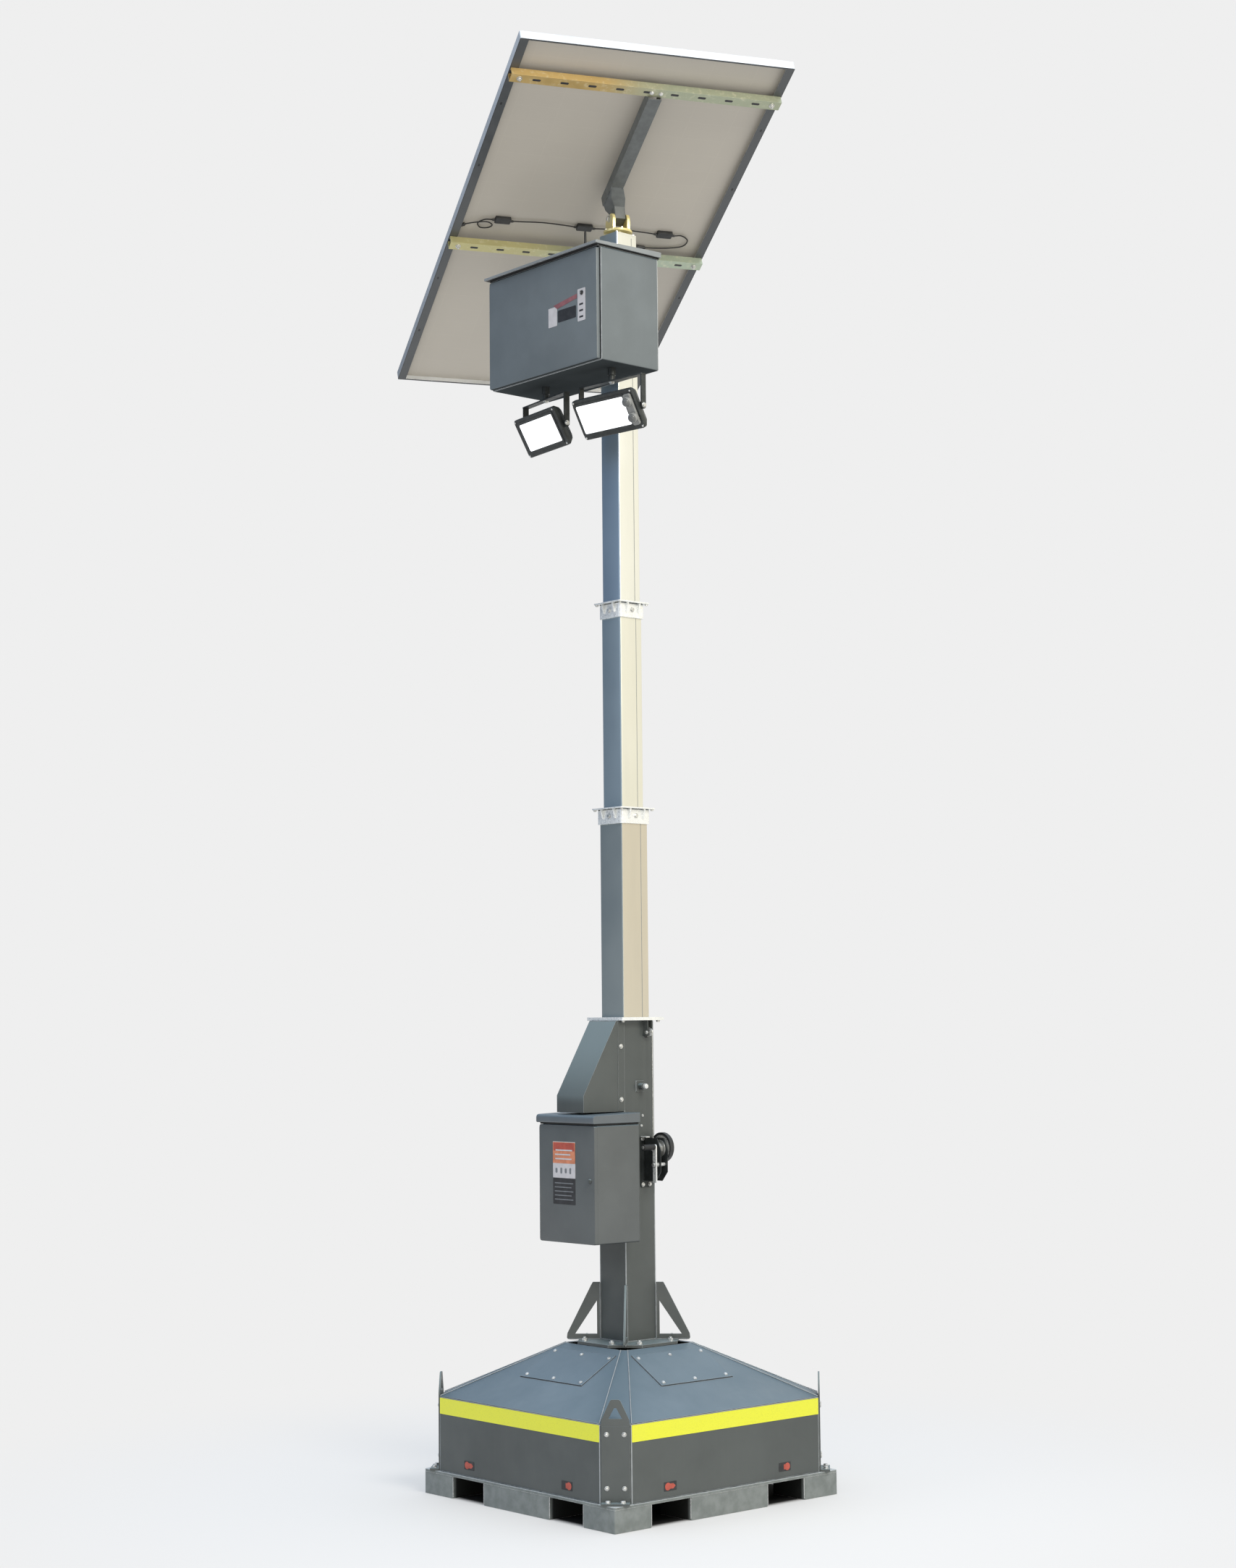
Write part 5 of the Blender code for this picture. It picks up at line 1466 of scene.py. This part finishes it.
def build():
    skid()
    ballast_walls()
    keep("ballast_block", CONCRETE)
    for k in range(4):
        corner_plate(k + 1, 45 + 90 * k)
        hatch(k + 1, 90 * k)
    cover()
    flange()
    lower_post()
    top_flange()
    for k in (1, 2, 3):
        mast_stage(k, f"stage_{k}")
    for k in (1, 2):
        collar(k, f"stage_{k}")
    cable_housing()
    cabinet()
    winch_frame()
    winch_cover()
    winch_drum()
    winch_crank()
    rope_and_pulley()
    lock_pin()
    battery_box()
    floodlight("left")
    floodlight("right")
    sensors()
    swivel_head()
    panel()


# ---- what the object stands on, light and camera ----

BACKGROUND = 0.863


def backdrop_look():
    look = Look("backdrop")
    return look.surface(look.glow(BACKGROUND))


def floor_look():
    """Pale matt floor that runs into the backdrop's tone further out, with a painted shadow under the skid.
    """
    look = Look("floor")
    # Near-black inside the skid's footprint: a painted shadow under the skid; clear is 1 outside it.
    clear = look.span(look.off_centre(), 0.505, 0.555)
    tone = look.mix(clear, (0.02, 0.02, 0.02), (0.76, 0.735, 0.71))
    look.set(Base_Color=tone, Roughness=0.9, Specular_IOR_Level=0.1)
    length = look.node("ShaderNodeVectorMath", {0: look.where}, operation="LENGTH").outputs["Value"]
    share = look.math("MULTIPLY", look.span(length, 0.8, 3.2, 0.35, 1.0), clear)
    both = {0: share, 1: look.shader.outputs[0], 2: look.glow(BACKGROUND)}
    return look.surface(look.node("ShaderNodeMixShader", both).outputs[0])


def studio():
    bpy.ops.mesh.primitive_circle_add(vertices=96, radius=24.0, fill_type="NGON", location=(0, 0, -0.0005))
    floor = bpy.context.object
    floor.name = "floor"
    floor.data.materials.append(floor_look())
    bpy.ops.mesh.primitive_uv_sphere_add(segments=64, ring_count=32, radius=60.0)
    dome = bpy.context.object
    dome.name = "backdrop"
    dome.data.materials.append(backdrop_look())
    dome.visible_diffuse = dome.visible_glossy = dome.visible_transmission = dome.visible_shadow = False
    sky()
    area("key", (6.5, -1.2, 7.0), (0.2, 0.0, 1.6), 3.2, 365.0, (1.0, 0.95, 0.86))
    area("fill", (-2.0, -8.0, 4.5), (0.0, 0.0, 2.2), 4.0, 65.0, (0.80, 0.88, 1.0))
    area("underside", (5.0, -5.5, 1.0), (-0.2, 0.0, 4.9), 2.5, 60.0, (1.0, 0.97, 0.90))


def sky():
    """Soft surroundings: dim and blue on the view's left, bright and warm on its right, pale overhead."""
    world = bpy.data.worlds.new("surroundings")
    bpy.context.scene.world = world
    look = Look("surroundings", world)
    inputs = {0: look.where, 1: (0.748, 0.663, 0.0)}
    across = look.node("ShaderNodeVectorMath", inputs, operation="DOT_PRODUCT").outputs["Value"]
    walls = look.mix(look.span(across, -0.7, 0.7), (0.11, 0.155, 0.225), (1.00, 0.95, 0.80))
    inputs = {"Value": look.part(look.where, "Z"), "From Min": 0.25, "From Max": 0.9}
    rise = look.node("ShaderNodeMapRange", inputs).outputs["Result"]
    look.set(Color=look.mix(rise, walls, (1.05, 1.22, 1.45)), Strength=1.0)


def area(name, at, towards, size, power, colour):
    light = bpy.data.lights.new(name, "AREA")
    light.shape, light.size, light.energy, light.color = "DISK", size, power, colour
    made = bpy.data.objects.new(name, light)
    bpy.context.scene.collection.objects.link(made)
    made.location = at
    made.rotation_euler = (Vector(towards) - Vector(at)).to_track_quat("-Z", "Y").to_euler()
    made.visible_camera = False


def camera():
    """Eye-level view from the front right corner."""
    yaw, pitch, roll = math.radians(49.069), math.radians(5.028), math.radians(-0.545)
    forward = Vector((-math.sin(yaw) * math.cos(pitch), math.cos(yaw) * math.cos(pitch), math.sin(pitch)))
    right = Vector((math.cos(yaw), math.sin(yaw), 0.0))
    up = right.cross(forward)
    side = right * math.cos(roll) + up * math.sin(roll)
    top = up * math.cos(roll) - right * math.sin(roll)
    data = bpy.data.cameras.new("view")
    data.lens, data.sensor_fit, data.sensor_width, data.sensor_height = 59.664, "VERTICAL", 36.0, 36.0
    data.clip_end = 200.0
    made = bpy.data.objects.new("view", data)
    bpy.context.scene.collection.objects.link(made)
    made.matrix_world = axes(side, top, -forward, (7.5043, -6.5338, 1.7975))
    bpy.context.scene.camera = made


build()
studio()
camera()
bpy.context.scene.view_settings.view_transform = "Standard"
